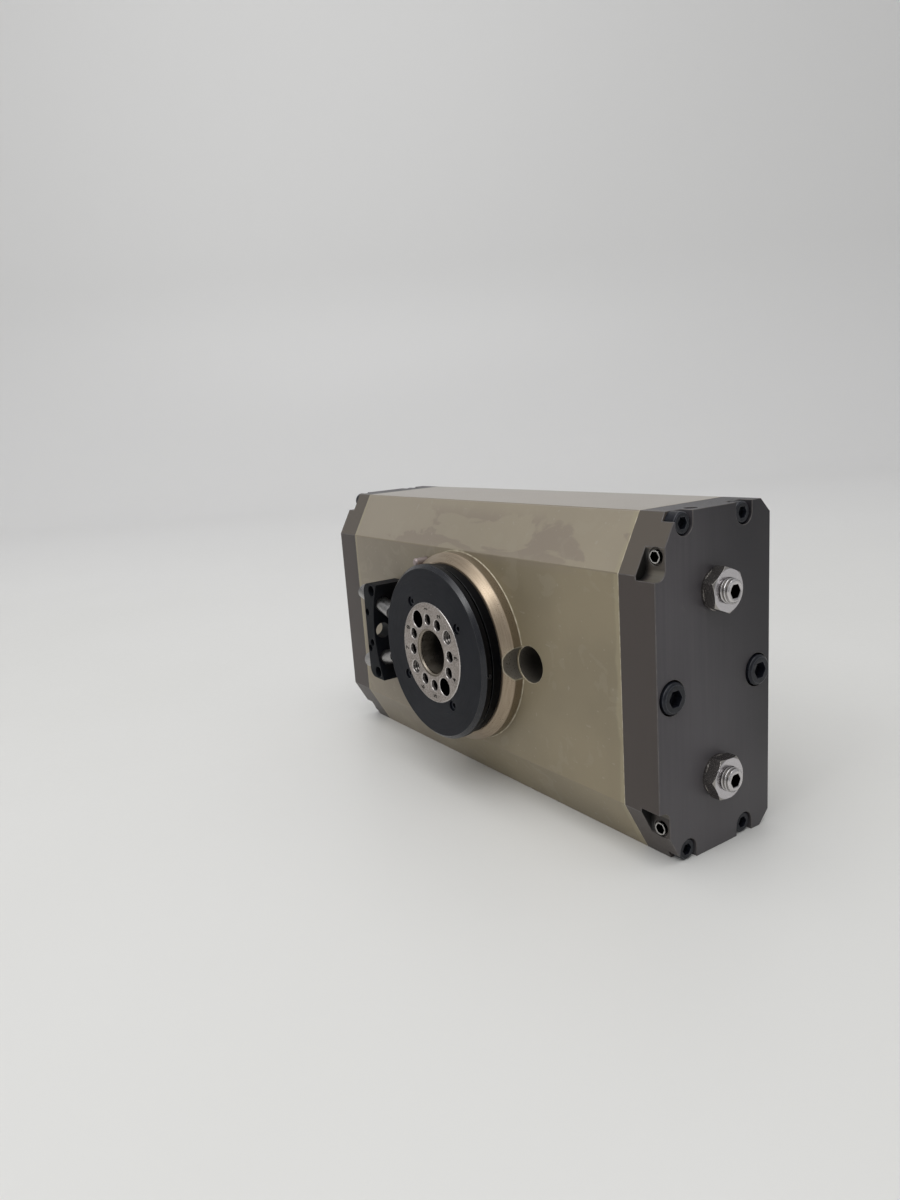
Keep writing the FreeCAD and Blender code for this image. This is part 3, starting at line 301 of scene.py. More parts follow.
def block_colour(paint, clouds):
    """Olive bronze, greyer to the left, rubbed paler along the cap joints, with painted light on the chamfer
    and the top.
    """
    cloudy = paint.band(clouds, 0.3, 0.7)
    grey = paint.mix(cloudy, (0.214, 0.184, 0.141), (0.254, 0.219, 0.168))
    olive = paint.mix(cloudy, (0.219, 0.184, 0.121), (0.262, 0.220, 0.145))
    colour = paint.mix(paint.rise(paint.x, -70, 20), grey, olive)
    in_front = paint.inside(paint.y, CHAMFER_BACK_Y + 0.5, 0.5)
    # Painted light: the upper chamfer is painted paler, as light from above falls on it.
    chamfer = paint.times(paint.beyond(paint.z, CHAMFER_LOW_Z, 0.2), in_front)
    colour = paint.mix(paint.times(chamfer, 0.55), colour, (0.368, 0.324, 0.258))
    stains = paint.times(block_stains(paint), in_front)
    colour = paint.mix(paint.times(stains, 0.6), colour, (0.232, 0.190, 0.156))
    faint = paint.band(paint.noise(9, 4.0, distortion=1.2), 0.57, 0.63, 0.0, 0.16)
    colour = paint.mix(faint, colour, (0.34, 0.305, 0.235))
    specks = paint.band(paint.noise(1.6, 0.0), 0.79, 0.81, 0.0, 0.25)
    colour = paint.mix(specks, colour, (0.40, 0.37, 0.31))
    wander = paint.times(paint.noise(14, 3.0), 4 * MM)
    along = paint.math("ADD", paint.off_middle(paint.x), wander)
    at_joint = paint.rise(along, JOINT_X - 0.4, JOINT_X + 0.8, 0.0, 0.40)
    colour = paint.mix(at_joint, colour, (0.350, 0.310, 0.205))
    # Painted light: the top face is painted paler and greyer, as light from above falls on it.
    painted_top_light = paint.rise(paint.z, HALF_HEIGHT - 0.4, HALF_HEIGHT - 0.2, 0.0, 0.75)
    return paint.mix(painted_top_light, colour, (0.442, 0.415, 0.390))


def housing_paint():
    """Hard anodised olive bronze with stains, a turned golden boss with painted shade on its side, and bare
    hole walls painted darker further in as painted shade.
    """
    paint = Paint("housing_anodised")
    clouds = paint.noise(34, 3.0)
    boss = paint.inside(paint.y, FRONT_Y - 0.2, 0.1)
    grooves = paint.rings(0.5)
    face = paint.mix(paint.band(grooves, 0.3, 0.7), (0.290, 0.228, 0.162), (0.360, 0.290, 0.212))
    # Painted shade: the boss's side, behind its golden chamfer, is painted darker.
    gold = paint.mix(paint.beyond(paint.y, BOSS_EDGE_Y), face, (0.262, 0.212, 0.148))
    colour = paint.mix(boss, block_colour(paint, clouds), gold)
    from_hole = from_mounts(paint)
    cut = paint.times(boss, paint.inside(from_hole, MOUNT_CUT_RADIUS + PAST_WALL))
    off_back = paint.inside(paint.y, BACK_Y - 0.3)
    hole = paint.any_of(cut, paint.times(paint.inside(from_hole, MOUNT_RADIUS + PAST_WALL), off_back))
    # Painted shade: the mounting holes' walls are painted pale at the mouth and darker further in.
    depth = paint.rise(paint.y, FRONT_Y - 4, FRONT_Y + 7)
    wall = paint.mix(depth, (0.330, 0.300, 0.255), (0.090, 0.081, 0.071))
    colour = paint.mix(hole, colour, wall)
    bare = paint.any_of(boss, hole)
    paint.feed(paint.shader.inputs["Metallic"], paint.band(bare, 0, 1, 0.2, 0.7))
    grain = paint.noise(0.35, 2.0)
    rough = paint.band(paint.math("ADD", grain, paint.times(clouds, 0.6)), 0.4, 1.2, 0.40, 0.52)
    rough = paint.math("SUBTRACT", rough, paint.times(bare, 0.15))
    height = paint.math("ADD", paint.times(grain, 0.5), paint.times(grooves, boss))
    paint.bump(height, 0.25, 0.012)
    return paint.finish(colour, rough)


def housing_edge_paint():
    """Edges of the block: rubbed pale at the cap joints and the holes, pale at the boss's foot as a painted
    highlight, plain elsewhere.
    """
    paint = Paint("housing_edge", metallic=0.3)
    worn = paint.noise(2.5, 3.0)
    bright = paint.mix(paint.band(worn, 0.35, 0.65), (0.31, 0.27, 0.19), (0.46, 0.41, 0.31))
    ends = paint.beyond(paint.off_middle(paint.x), JOINT_X - 0.4)
    rims = paint.inside(from_mounts(paint), MOUNT_CUT_RADIUS + 0.4)
    on_block = paint.beyond(paint.y, FRONT_Y - 0.45)
    # Painted highlight: the boss's foot is painted pale all the way round.
    foot = paint.times(on_block, paint.inside(paint.radius(), BOSS_RADIUS + 0.6))
    rubbed = paint.any_of(ends, rims, foot)
    plain = paint.mix(on_block, (0.300, 0.235, 0.165), (0.250, 0.211, 0.150))
    return paint.finish(paint.mix(rubbed, plain, bright), paint.band(worn, 0.3, 0.7, 0.34, 0.46))


def throttle_pocket(paint):
    """One on the walls of the pockets that the throttle screws stand in, below the chamfers' plane."""
    rise, run = HALF_HEIGHT - CHAMFER_LOW_Z, CHAMFER_BACK_Y - FRONT_Y
    up = paint.math("SUBTRACT", paint.off_middle(paint.z), CHAMFER_LOW_Z * MM)
    back = paint.math("SUBTRACT", paint.y, FRONT_Y * MM)
    below = paint.math("SUBTRACT", paint.times(back, rise), paint.times(up, run))
    below = paint.math("DIVIDE", below, math.hypot(rise, run))
    return paint.times(
        paint.beyond(below, 0.3),
        paint.beyond(paint.y, FRONT_Y + 0.3),
        paint.inside(paint.y, POCKET_FLOOR_Y + 0.2),
        paint.beyond(paint.x, POCKET_WALL_X - 0.15),
        paint.inside(paint.x, OUTER_X - 0.3),
    )


def cap_paint():
    """Dark anodised plates, faintly drawn up and down, a little scuffed, with painted light and shade: darker
    to the back and top, paler low and on the front chamfer, browner in front, dark and lit in the pockets.
    """
    paint = Paint("cap_anodised", Specular_IOR_Level=0.35)
    tone = paint.blend(paint.noise(40, 3.0), paint.noise(1.2, 3.0, stretch=(1, 1, 0.03)), 0.45)
    colour = paint.mix(paint.band(tone, 0.3, 0.7), (0.066, 0.061, 0.067), (0.083, 0.077, 0.083))
    scuffs = paint.band(paint.noise(5, 4.0, stretch=(1, 1, 0.4), distortion=1.5), 0.68, 0.76, 0.0, 0.25)
    colour = paint.mix(scuffs, colour, (0.12, 0.115, 0.11))
    # Painted shade: the caps are painted darker towards the back and the top.
    painted_shade_towards_back = paint.math("ADD", paint.y, paint.times(paint.z, 0.3))
    colour = paint.mix(paint.rise(painted_shade_towards_back, 30, 75, 0.0, 0.8), colour, (0.012, 0.011, 0.014))
    # Painted light: the caps are painted paler towards the bottom.
    low = paint.rise(paint.z, -50, -15, 0.35, 0.0)
    colour = paint.mix(low, colour, (0.100, 0.094, 0.096))
    # Painted sheen and shade: the caps' front is painted browner and darker, the tint the anodising shows
    # from in front.
    front = paint.inside(paint.y, MID_Y - 15.0, 3.0)
    off_end = paint.inside(paint.off_middle(paint.x), OUTER_X - 0.3, 0.2)
    brown = paint.times(front, off_end, 0.75)
    colour = paint.mix(brown, colour, (0.050, 0.038, 0.030))
    # Painted light: the caps' upper chamfer in front is painted paler.
    chamfer = paint.times(brown, paint.beyond(paint.z, CHAMFER_LOW_Z, 0.2))
    colour = paint.mix(chamfer, colour, (0.112, 0.096, 0.078))
    pocket = throttle_pocket(paint)
    # Painted shade: the throttle pockets are painted near black towards their inner wall.
    pocket_shade = paint.rise(paint.x, POCKET_WALL_X + 0.3, POCKET_WALL_X + 2.5, 0.96, 0.30)
    colour = paint.mix(paint.times(pocket, pocket_shade), colour, (0.005, 0.005, 0.005))
    # Painted highlight: a paler patch on the pockets' rounded end, away from the inner wall.
    pocket_highlight = paint.rise(paint.x, POCKET_WALL_X + 1.6, POCKET_WALL_X + 3.6, 0.0, 0.6)
    round_end = paint.inside(paint.off_middle(paint.z), POCKET_LOW_Z + 2.6, 0.8)
    colour = paint.mix(paint.times(pocket, round_end, pocket_highlight), colour, (0.150, 0.138, 0.112))
    grain = paint.noise(0.3, 2.0)
    rough = paint.band(paint.math("ADD", grain, tone), 0.6, 1.4, 0.34, 0.46)
    paint.bump(grain, 0.2, 0.01)
    return paint.finish(colour, rough)


def worn_edge_paint(name, dark, bright):
    """Broken edges, rubbed brighter in places."""
    paint = Paint(name, metallic=0.2)
    worn = paint.noise(2.0, 3.0)
    colour = paint.mix(paint.band(worn, 0.35, 0.7), dark, bright)
    return paint.finish(colour, paint.band(worn, 0.3, 0.7, 0.32, 0.46))


def flange_paint():
    """Satin black disc, finely turned, with a few small pale marks, and painted shade making it darkest
    behind its rim.
    """
    paint = Paint("flange_black", Specular_IOR_Level=0.13)
    grooves = paint.rings(0.35)
    clouds = paint.noise(16, 3.0)
    colour = paint.mix(paint.band(clouds, 0.3, 0.7), (0.0045, 0.0053, 0.0085), (0.0078, 0.0088, 0.0128))
    # Painted shade: the disc's side and back, behind its sloping rim, are painted darker.
    behind = paint.beyond(paint.y, DISC_BEVEL_Y + 0.1)
    colour = paint.mix(behind, colour, (0.0015, 0.0015, 0.0020))
    marks = paint.band(paint.noise(1.8, 1.0, distortion=0.8), 0.775, 0.80, 0.0, 0.35)
    colour = paint.mix(marks, colour, (0.10, 0.10, 0.105))
    paint.bump(grooves, 0.22, 0.01)
    paint.turned(0.5)
    return paint.finish(colour, paint.band(grooves, 0.3, 0.7, 0.36, 0.46))


def rim_paint():
    """The disc's sloping rim, turned finer and glossier than its face."""
    paint = Paint("flange_rim", Specular_IOR_Level=0.5)
    grooves = paint.rings(0.25)
    colour = paint.mix(grooves, (0.0050, 0.0058, 0.0090), (0.0095, 0.0105, 0.0145))
    paint.bump(grooves, 0.2, 0.008)
    paint.turned(0.4)
    return paint.finish(colour, paint.band(grooves, 0.3, 0.7, 0.20, 0.30))


def near_plain_holes(paint):
    """One along the line through the shaft's two plain holes."""
    line = math.radians(PLAIN_HOLES_ANGLE + FLANGE_TURN)
    off_line = paint.math("ADD", paint.times(paint.x, -math.sin(line)), paint.times(paint.z, math.cos(line)))
    return paint.inside(paint.off_middle(off_line), PLAIN_HOLE_RADIUS + 0.6)


def bore_colour(paint):
    """Streaky brown walls with a plain chamfer at the mouth, painted darker further in as painted shade."""
    streaks = paint.noise(2.2, 3.0, stretch=(1, 0.5, 1))
    colour = paint.mix(paint.band(streaks, 0.3, 0.7), (0.185, 0.160, 0.128), (0.330, 0.292, 0.245))
    # Painted shade: the bore's wall is painted darker further in.
    colour = paint.mix(paint.rise(paint.y, 3.0, 8.5, 0.0, 0.85), colour, (0.030, 0.029, 0.030))
    chamfer = paint.inside(paint.y, BORE_CHAMFER + 0.05, 0.2)
    return paint.mix(chamfer, colour, (0.300, 0.264, 0.218))


def shaft_paint():
    """Bead-blasted steel face; hole walls bright at the mouth and painted dark below, and plain holes painted
    all dark, as painted shade.
    """
    paint = Paint("shaft_steel", metallic=0.8)
    speckle = paint.noise(0.6, 3.0)
    tone = paint.blend(speckle, paint.noise(7, 2.0), 0.25)
    colour = paint.mix(paint.band(tone, 0.38, 0.62), (0.212, 0.187, 0.170), (0.440, 0.396, 0.366))
    walls = paint.beyond(paint.y, 0.35)
    # Painted shade: hole walls are painted near black below the mouth, and all the way in the plain holes.
    dark = paint.any_of(near_plain_holes(paint), paint.rise(paint.y, 0.7, 1.5))
    colour = paint.mix(walls, colour, paint.mix(dark, (0.480, 0.450, 0.430), (0.006, 0.006, 0.007)))
    in_bore = paint.inside(paint.radius(), BORE_RADIUS + BORE_CHAMFER - 0.05, 0.06)
    colour = paint.mix(in_bore, colour, bore_colour(paint))
    blasted = paint.math("SUBTRACT", 1.0, walls)
    paint.bump(paint.times(speckle, blasted), 0.35, 0.015)
    smooth = paint.math("SUBTRACT", walls, paint.times(in_bore, 0.5))
    smoother = paint.band(smooth, 0.0, 1.0, 0.0, 0.32)
    rough = paint.math("SUBTRACT", paint.band(tone, 0.3, 0.7, 0.42, 0.56), smoother)
    return paint.finish(colour, rough)


def shaft_edge_paint():
    """Bright broken edges of the shaft's face, browned round the bore."""
    paint = Paint("shaft_edge", metallic=1.0)
    worn = paint.noise(0.5, 2.0)
    bright = paint.mix(worn, (0.46, 0.43, 0.41), (0.62, 0.59, 0.57))
    near_bore = paint.inside(paint.radius(), BORE_RADIUS + BORE_CHAMFER + 0.4)
    colour = paint.mix(near_bore, bright, (0.185, 0.160, 0.130))
    return paint.finish(colour, paint.band(worn, 0.3, 0.7, 0.22, 0.32))


def steel_paint(name, dark, bright, rough, size, metallic):
    """Bare or plated metal with fine tool marks."""
    paint = Paint(name, metallic=metallic)
    marks = paint.noise(size, 3.0)
    tone = paint.blend(marks, paint.noise(3.0, 2.0), 0.4)
    paint.bump(marks, 0.10, 0.006)
    colour = paint.mix(paint.band(tone, 0.3, 0.7), dark, bright)
    return paint.finish(colour, paint.band(tone, 0.3, 0.7, rough - 0.05, rough + 0.05))


def adjuster_paint():
    """Plated stop screws, nuts and washers, with painted light and shade: bright ends, darker flanks, dark
    thread grooves with bright crests, black sockets.
    """
    paint = Paint("adjuster_steel", metallic=1.0)
    marks = paint.noise(0.25, 3.0)
    across = paint.math("SUBTRACT", paint.y, MID_Y * MM)
    up = paint.math("SUBTRACT", paint.off_middle(paint.z), BORE_Z * MM)
    from_axis = paint.reach(across, up)
    # Painted light and shade: the nuts' end faces are painted bright and their flanks darker.
    shaded_flank = paint.mix(marks, (0.31, 0.29, 0.27), (0.40, 0.38, 0.36))
    end = paint.mix(marks, (0.52, 0.50, 0.515), (0.60, 0.58, 0.595))
    colour = paint.mix(paint.inside(paint.x, NUT_END_X - 0.08, 0.06), end, shaded_flank)
    # Painted shade and highlight: the thread's grooves are painted dark, its crests and the screw's end
    # bright.
    thread = paint.inside(from_axis, STOP_RADIUS + 0.05)
    crest = paint.rise(from_axis, STOP_RADIUS - 0.5, STOP_RADIUS)
    screw_end = paint.beyond(paint.x, STOP_END_X - 0.7, 0.2)
    lit = paint.any_of(crest, screw_end)
    colour = paint.mix(thread, colour, paint.mix(lit, (0.12, 0.11, 0.10), (0.60, 0.58, 0.58)))
    # Painted shade: the hex sockets are painted near black.
    socket = paint.times(paint.inside(from_axis, 2.4), paint.inside(paint.x, STOP_END_X - 0.2, 0.1))
    colour = paint.mix(socket, colour, (0.015, 0.014, 0.013))
    paint.bump(marks, 0.10, 0.006)
    return paint.finish(colour, paint.band(marks, 0.3, 0.7, 0.18, 0.28))


def throttle_paint():
    """Bright screw ends with a socket painted black as painted shade."""
    paint = Paint("throttle_steel", metallic=1.0)
    marks = paint.noise(0.25, 3.0)
    colour = paint.mix(marks, (0.36, 0.35, 0.34), (0.48, 0.465, 0.45))
    # Painted shade: the socket is painted near black.
    colour = paint.mix(paint.beyond(paint.y, THROTTLE_Y + 0.15), colour, (0.010, 0.010, 0.010))
    paint.bump(marks, 0.10, 0.006)
    return paint.finish(colour, paint.band(marks, 0.3, 0.7, 0.16, 0.26))


def matt_paint(name, dark, bright, rough, size, specular):
    """Matt or satin surface with mottled colour and a fine grain."""
    paint = Paint(name, Specular_IOR_Level=specular)
    mottle = paint.noise(size, 3.0)
    grain = paint.noise(0.2, 2.0)
    paint.bump(grain, 0.2, 0.01)
    colour = paint.mix(paint.band(mottle, 0.3, 0.7), dark, bright)
    return paint.finish(colour, paint.band(grain, 0.3, 0.7, rough - 0.05, rough + 0.06))


# Bare metals: darker and brighter colour, roughness, size of the tool marks in millimetres, metallic share.
STEELS = {
    # Painted shade: threads inside the flange's holes are painted darker than the face's steel.
    "thread_steel_shaded": ((0.075, 0.070, 0.066), (0.135, 0.127, 0.120), 0.20, 0.25, 1.0),
    "pin_steel": ((0.27, 0.225, 0.215), (0.34, 0.285, 0.275), 0.42, 0.25, 0.5),
    "bearing_steel": ((0.50, 0.50, 0.51), (0.64, 0.64, 0.65), 0.22, 0.25, 1.0),
    "piston_alloy": ((0.55, 0.55, 0.56), (0.68, 0.68, 0.69), 0.32, 0.25, 1.0),
    "sensor_steel": ((0.290, 0.283, 0.278), (0.360, 0.352, 0.346), 0.30, 0.4, 1.0),
}
# Matt surfaces: darker and brighter colour, roughness, size of the mottle in millimetres, specular level.
MATTS = {
    # Painted shade: the cam ring is painted darker than the disc, as it lies in the gap behind it.
    "cam_black_shaded": ((0.0012, 0.0013, 0.0018), (0.0020, 0.0021, 0.0028), 0.45, 2.0, 0.07),
    "black_screw": ((0.006, 0.007, 0.0105), (0.012, 0.0135, 0.019), 0.34, 1.0, 0.3),
    "screw_edge": ((0.017, 0.019, 0.025), (0.036, 0.038, 0.047), 0.30, 0.8, 0.5),
    "seal_rubber": ((0.014, 0.014, 0.014), (0.024, 0.024, 0.024), 0.62, 1.5, 0.5),
    "guide_plastic": ((0.54, 0.50, 0.39), (0.64, 0.60, 0.48), 0.50, 1.5, 0.5),
    "sensor_plastic": ((0.010, 0.010, 0.011), (0.018, 0.018, 0.020), 0.50, 1.5, 0.5),
    "bracket_anodised": ((0.0022, 0.0028, 0.0045), (0.0040, 0.0048, 0.0070), 0.55, 6.0, 0.15),
    "engraving": ((0.006, 0.005, 0.004), (0.012, 0.010, 0.008), 0.7, 0.4, 0.1),
}


def make_paints():
    """All materials of the part by name."""
    paints = {
        "housing_anodised": housing_paint(),
        "housing_edge": housing_edge_paint(),
        "cap_anodised": cap_paint(),
        "cap_edge": worn_edge_paint("cap_edge", (0.090, 0.082, 0.079), (0.130, 0.119, 0.112)),
        "flange_black": flange_paint(),
        "flange_rim": rim_paint(),
        "flange_edge": worn_edge_paint("flange_edge", (0.014, 0.0145, 0.017), (0.032, 0.033, 0.036)),
        "shaft_steel": shaft_paint(),
        "shaft_edge": shaft_edge_paint(),
        "adjuster_steel": adjuster_paint(),
        "throttle_steel": throttle_paint(),
    }
    for name, look in STEELS.items():
        paints[name] = steel_paint(name, *look)
    for name, look in MATTS.items():
        paints[name] = matt_paint(name, *look)
    return paints


PAINTS = make_paints()

# Nodes whose paint isn't named like their material slot.
OWN_PAINT = {
    "stop_screw_upper": "adjuster_steel",
    "stop_screw_lower": "adjuster_steel",
    "lock_nut_upper": "adjuster_steel",
    "lock_nut_lower": "adjuster_steel",
    "stop_washers": "adjuster_steel",
    "throttle_screws": "throttle_steel",
    "boss_pin": "pin_steel",
    "cam_ring": "cam_black_shaded",
    # Painted highlight: the disc's set screw is painted bright steel so that it shows a glint.
    "disc_set_screw": "sensor_steel",
}
# A node's faces come unjoined, with corners closer than this in metres.
WELD = 1e-6
# Edges sharper than this angle in degrees stay crisp.
CRISP = 25
# Broken edges by material slot: width in millimetres, least angle in degrees, how deep they go along Y,
# and their paint where they have one of their own.
EDGES = {
    "housing_anodised": (0.25, 26, 70, "housing_edge"),
    "cap_anodised": (0.18, 26, 70, "cap_edge"),
    "flange_black": (0.09, 35, 70, "flange_edge"),
    "shaft_steel": (0.36, 35, 2, "shaft_edge"),
    "bright_steel": (0.05, 40, 70, None),
    "black_screw": (0.12, 35, 70, "screw_edge"),
    "sensor_steel": (0.10, 35, 70, None),
    "sensor_plastic": (0.10, 35, 70, None),
    "bracket_anodised": (0.16, 35, 70, None),
}


def end_places(corners):
    """Both ends of an edge in rounded millimetres, in no order, so that edges can be matched by place."""
    return frozenset(tuple(round(number / MM, 4) for number in corner.co) for corner in corners)


def mark_edges(mesh, least, depth):
    """Marks a node's outward edges to be broken and keeps its other sharp edges crisp."""
    joined = bmesh.new()
    joined.from_mesh(mesh)
    bmesh.ops.remove_doubles(joined, verts=joined.verts, dist=WELD)
    broken, crisp = set(), set()
    for edge in joined.edges:
        angle = math.degrees(edge.calc_face_angle(0))
        in_reach = all(corner.co.y < depth * MM for corner in edge.verts)
        if angle > least and edge.is_convex and in_reach:
            broken.add(end_places(edge.verts))
        elif angle > CRISP:
            crisp.add(end_places(edge.verts))
    joined.free()
    weight = mesh.attributes.new("bevel_weight_edge", "FLOAT", "EDGE")
    for edge in mesh.edges:
        places = end_places([mesh.vertices[i] for i in edge.vertices])
        weight.data[edge.index].value = float(places in broken)
        edge.use_edge_sharp = places in crisp


def dress_nodes():
    """Gives each CAD node its paint, smooth faces and, where its slot has them, broken edges."""
    for row in frame["record"]["subparts"]:
        node = NODES[row["node"]]
        slot = row["material_slot"]
        node.data.materials.clear()
        paint = PAINTS[OWN_PAINT.get(row["node"], slot)]
        node.data.materials.append(paint)
        for face in node.data.polygons:
            face.use_smooth = True
        node.modifiers.new("weld", "WELD").merge_threshold = WELD
        if slot not in EDGES:
            mark_edges(node.data, CRISP, -math.inf)
            continue
        width, least, depth, edge = EDGES[slot]
        mark_edges(node.data, least, depth)
        node.data.materials.append(PAINTS[edge] if edge else paint)
        bevel = node.modifiers.new("broken_edges", "BEVEL")
        bevel.limit_method = "WEIGHT"
        bevel.width = width * MM
        bevel.segments = 2
        bevel.material = 1
        bevel.loop_slide = False
        bevel.use_clamp_overlap = False
        shade = node.modifiers.new("shade", "WEIGHTED_NORMAL")
        shade.weight = 100
        shade.keep_sharp = True


def paint_rim():
    """Gives the disc's sloping rim its own paint."""
    disc = NODES["flange_disc"].data
    disc.materials.append(PAINTS["flange_rim"])
    for face in disc.polygons:
        place = face.center / MM
        if place.y < DISC_BEVEL_Y and math.hypot(place.x, place.z) > DISC_BEVEL_RADIUS:
            face.material_index = len(disc.materials) - 1


def piece(name, mesh, body, paint):
    """Adds a piece that rides on a body and counts to a material slot."""
    mesh.materials.append(PAINTS[paint])
    made = bpy.data.objects.new(name, mesh)
    bpy.context.scene.collection.objects.link(made)
    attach(made, body)
    return made


def new_mesh(name, points, faces, smooth=True):
    """A mesh from points in millimetres."""
    mesh = bpy.data.meshes.new(name)
    mesh.from_pydata([Vector(point) * MM for point in points], [], faces)
    for face in mesh.polygons:
        face.use_smooth = smooth
    return mesh


def rows_to_faces(rows, around, closed=True):
    """Quads between rows of points, each row with as many points."""
    faces = []
    for i in range(rows - 1):
        for j in range(around if closed else around - 1):
            k = (j + 1) % around
            faces.append((i * around + j, i * around + k, (i + 1) * around + k, (i + 1) * around + j))
    return faces


def end_faces(rows, around):
    """Faces that close the first and the last row of points."""
    return [tuple(reversed(range(around))), tuple(range((rows - 1) * around, rows * around))]


def stop_screw(level, height):
    """Adjusting screw: plain inside the cap, threaded where it stands out, with a hex socket in its end."""
    around, steps, fade = 60, 34, 6
    pitch, groove_depth, chamfer = 1.25, 0.55, 0.9
    point_radius, point_length = 2.75, 1.5
    flats, socket_depth, mouth_radius, mouth_depth = 4.0, 5.0, 2.55, 0.25
    thread_start, shoulder = OUTER_X + 3.0, STOP_TIP_X + point_length
    plain = [(STOP_TIP_X, point_radius), (shoulder, point_radius), (shoulder, STOP_RADIUS)]
    rows = [[corner] * around for corner in plain]
    for i in range(steps + 1):
        x = thread_start + (STOP_END_X - thread_start) * i / steps
        taper = STOP_RADIUS - chamfer * max(0.0, 1 - (STOP_END_X - x) / chamfer)
        row = []
        for j in range(around):
            wave = 0.5 + 0.5 * math.cos(2 * math.pi * (x / pitch - j / around))
            groove = groove_depth * wave * min(1.0, i / fade)
            row.append((x, min(STOP_RADIUS - groove, taper)))
        rows.append(row)
    hexagon = [flats / 2 / math.cos(math.radians((j * 360 / around) % 60 - 30)) for j in range(around)]
    rows.append([(STOP_END_X, mouth_radius)] * around)
    for depth in (mouth_depth, socket_depth):
        rows.append([(STOP_END_X - depth, r) for r in hexagon])
    points = []
    for row in rows:
        for j, (x, r) in enumerate(row):
            angle = 2 * math.pi * j / around
            points.append((x, MID_Y + r * math.cos(angle), height + r * math.sin(angle)))
    faces = rows_to_faces(len(rows), around) + end_faces(len(rows), around)
    mesh = new_mesh("stop_screw_thread_" + level, points, faces)
    made = piece("stop_screw_thread_" + level, mesh, "housing", "adjuster_steel")
    made.modifiers.new("creases", "EDGE_SPLIT").split_angle = math.radians(40)
    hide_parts("stop_screw_" + level)


def on_flange(radius, angle, y=0.0):
    """Place at this radius and this angle of the flange's pattern, in millimetres."""
    turn = math.radians(angle + FLANGE_TURN)
    return Vector((radius * math.cos(turn), y, radius * math.sin(turn)))


def hole_thread(name, mouth, inward, thread, body, paint):
    """A thread's ridge wound along the wall of a hole, counted inwards from its mouth."""
    axis = Vector(inward)
    across = axis.orthogonal().normalized()
    up = axis.cross(across)
    per_turn, fade = 28, 8
    pitch, foot_radius, half_width = thread["pitch"], thread["radius"] + SUNK, 0.42 * thread["pitch"]
    count = int((thread["end"] - thread["start"]) / pitch * per_turn)
    points = []
    for i in range(count + 1):
        angle = 2 * math.pi * i / per_turn
        out = across * math.cos(angle) + up * math.sin(angle)
        along = thread["start"] + pitch * i / per_turn
        crest_radius = thread["radius"] - thread["ridge"] * min(1.0, i / fade, (count - i) / fade)
        for shift, r in ((-half_width, foot_radius), (0, crest_radius), (half_width, foot_radius)):
            points.append(Vector(mouth) + axis * (along + shift) + out * r)
    faces = rows_to_faces(count + 1, 3)
    faces += [(0, 1, 2), (count * 3 + 2, count * 3 + 1, count * 3)]
    piece(name, new_mesh(name, points, faces, smooth=False), body, paint)


def make_threads():
    """Threads of the flange's ports and tool holes, and of the caps' air ports."""
    inward = (0, 1, 0)
    for i, angle in enumerate(PORT_ANGLES, start=1):
        mouth = on_flange(PORT_CIRCLE_RADIUS, angle)
        hole_thread(f"port_thread_{i}", mouth, inward, PORT_THREAD, "swivel", "thread_steel_shaded")
    for i, angle in enumerate(TOOL_ANGLES, start=1):
        mouth = on_flange(TOOL_CIRCLE_RADIUS, angle)
        hole_thread(f"tool_thread_{i}", mouth, inward, TOOL_THREAD, "swivel", "thread_steel_shaded")
    for level, sign in (("upper", 1), ("lower", -1)):
        mouth = (*AIR_PORT, sign * HALF_HEIGHT)
        inward = (0, 0, -sign)
        slot = "cap_anodised"
        hole_thread(f"air_thread_{level}", mouth, inward, AIR_THREAD, "housing", paint=slot)


def port_numbers():
    """Engraved figures 1 to 8, one outside each small port, all turned a quarter to the left."""
    gathered = bmesh.new()
    facing = Matrix(((0, -1, 0), (0, 0, -1), (1, 0, 0))).to_4x4()
    for number, angle in enumerate(PORT_ANGLES, start=1):
        curve = bpy.data.curves.new("figure", "FONT")
        curve.body = str(number)
        curve.size = FIGURE_SIZE * MM
        curve.offset = FIGURE_WEIGHT * MM
        curve.extrude = FIGURE_EXTRUDE * MM
        curve.align_x = "CENTER"
        curve.align_y = "CENTER"
        figure = bpy.data.objects.new("figure", curve)
        bpy.context.scene.collection.objects.link(figure)
        spot = on_flange(FIGURE_CIRCLE_RADIUS, angle, FIGURE_Y) * MM
        figure.matrix_world = Matrix.Translation(spot) @ facing
        bpy.context.view_layer.update()
        mesh = bpy.data.meshes.new_from_object(figure.evaluated_get(bpy.context.evaluated_depsgraph_get()))
        mesh.transform(figure.matrix_world)
        gathered.from_mesh(mesh)
        bpy.data.meshes.remove(mesh)
        bpy.data.objects.remove(figure)
        bpy.data.curves.remove(curve)
    bmesh.ops.remove_doubles(gathered, verts=gathered.verts, dist=1e-7)
    mesh = bpy.data.meshes.new("port_numbers")
    gathered.to_mesh(mesh)
    gathered.free()
    piece("port_numbers", mesh, "swivel", "engraving")


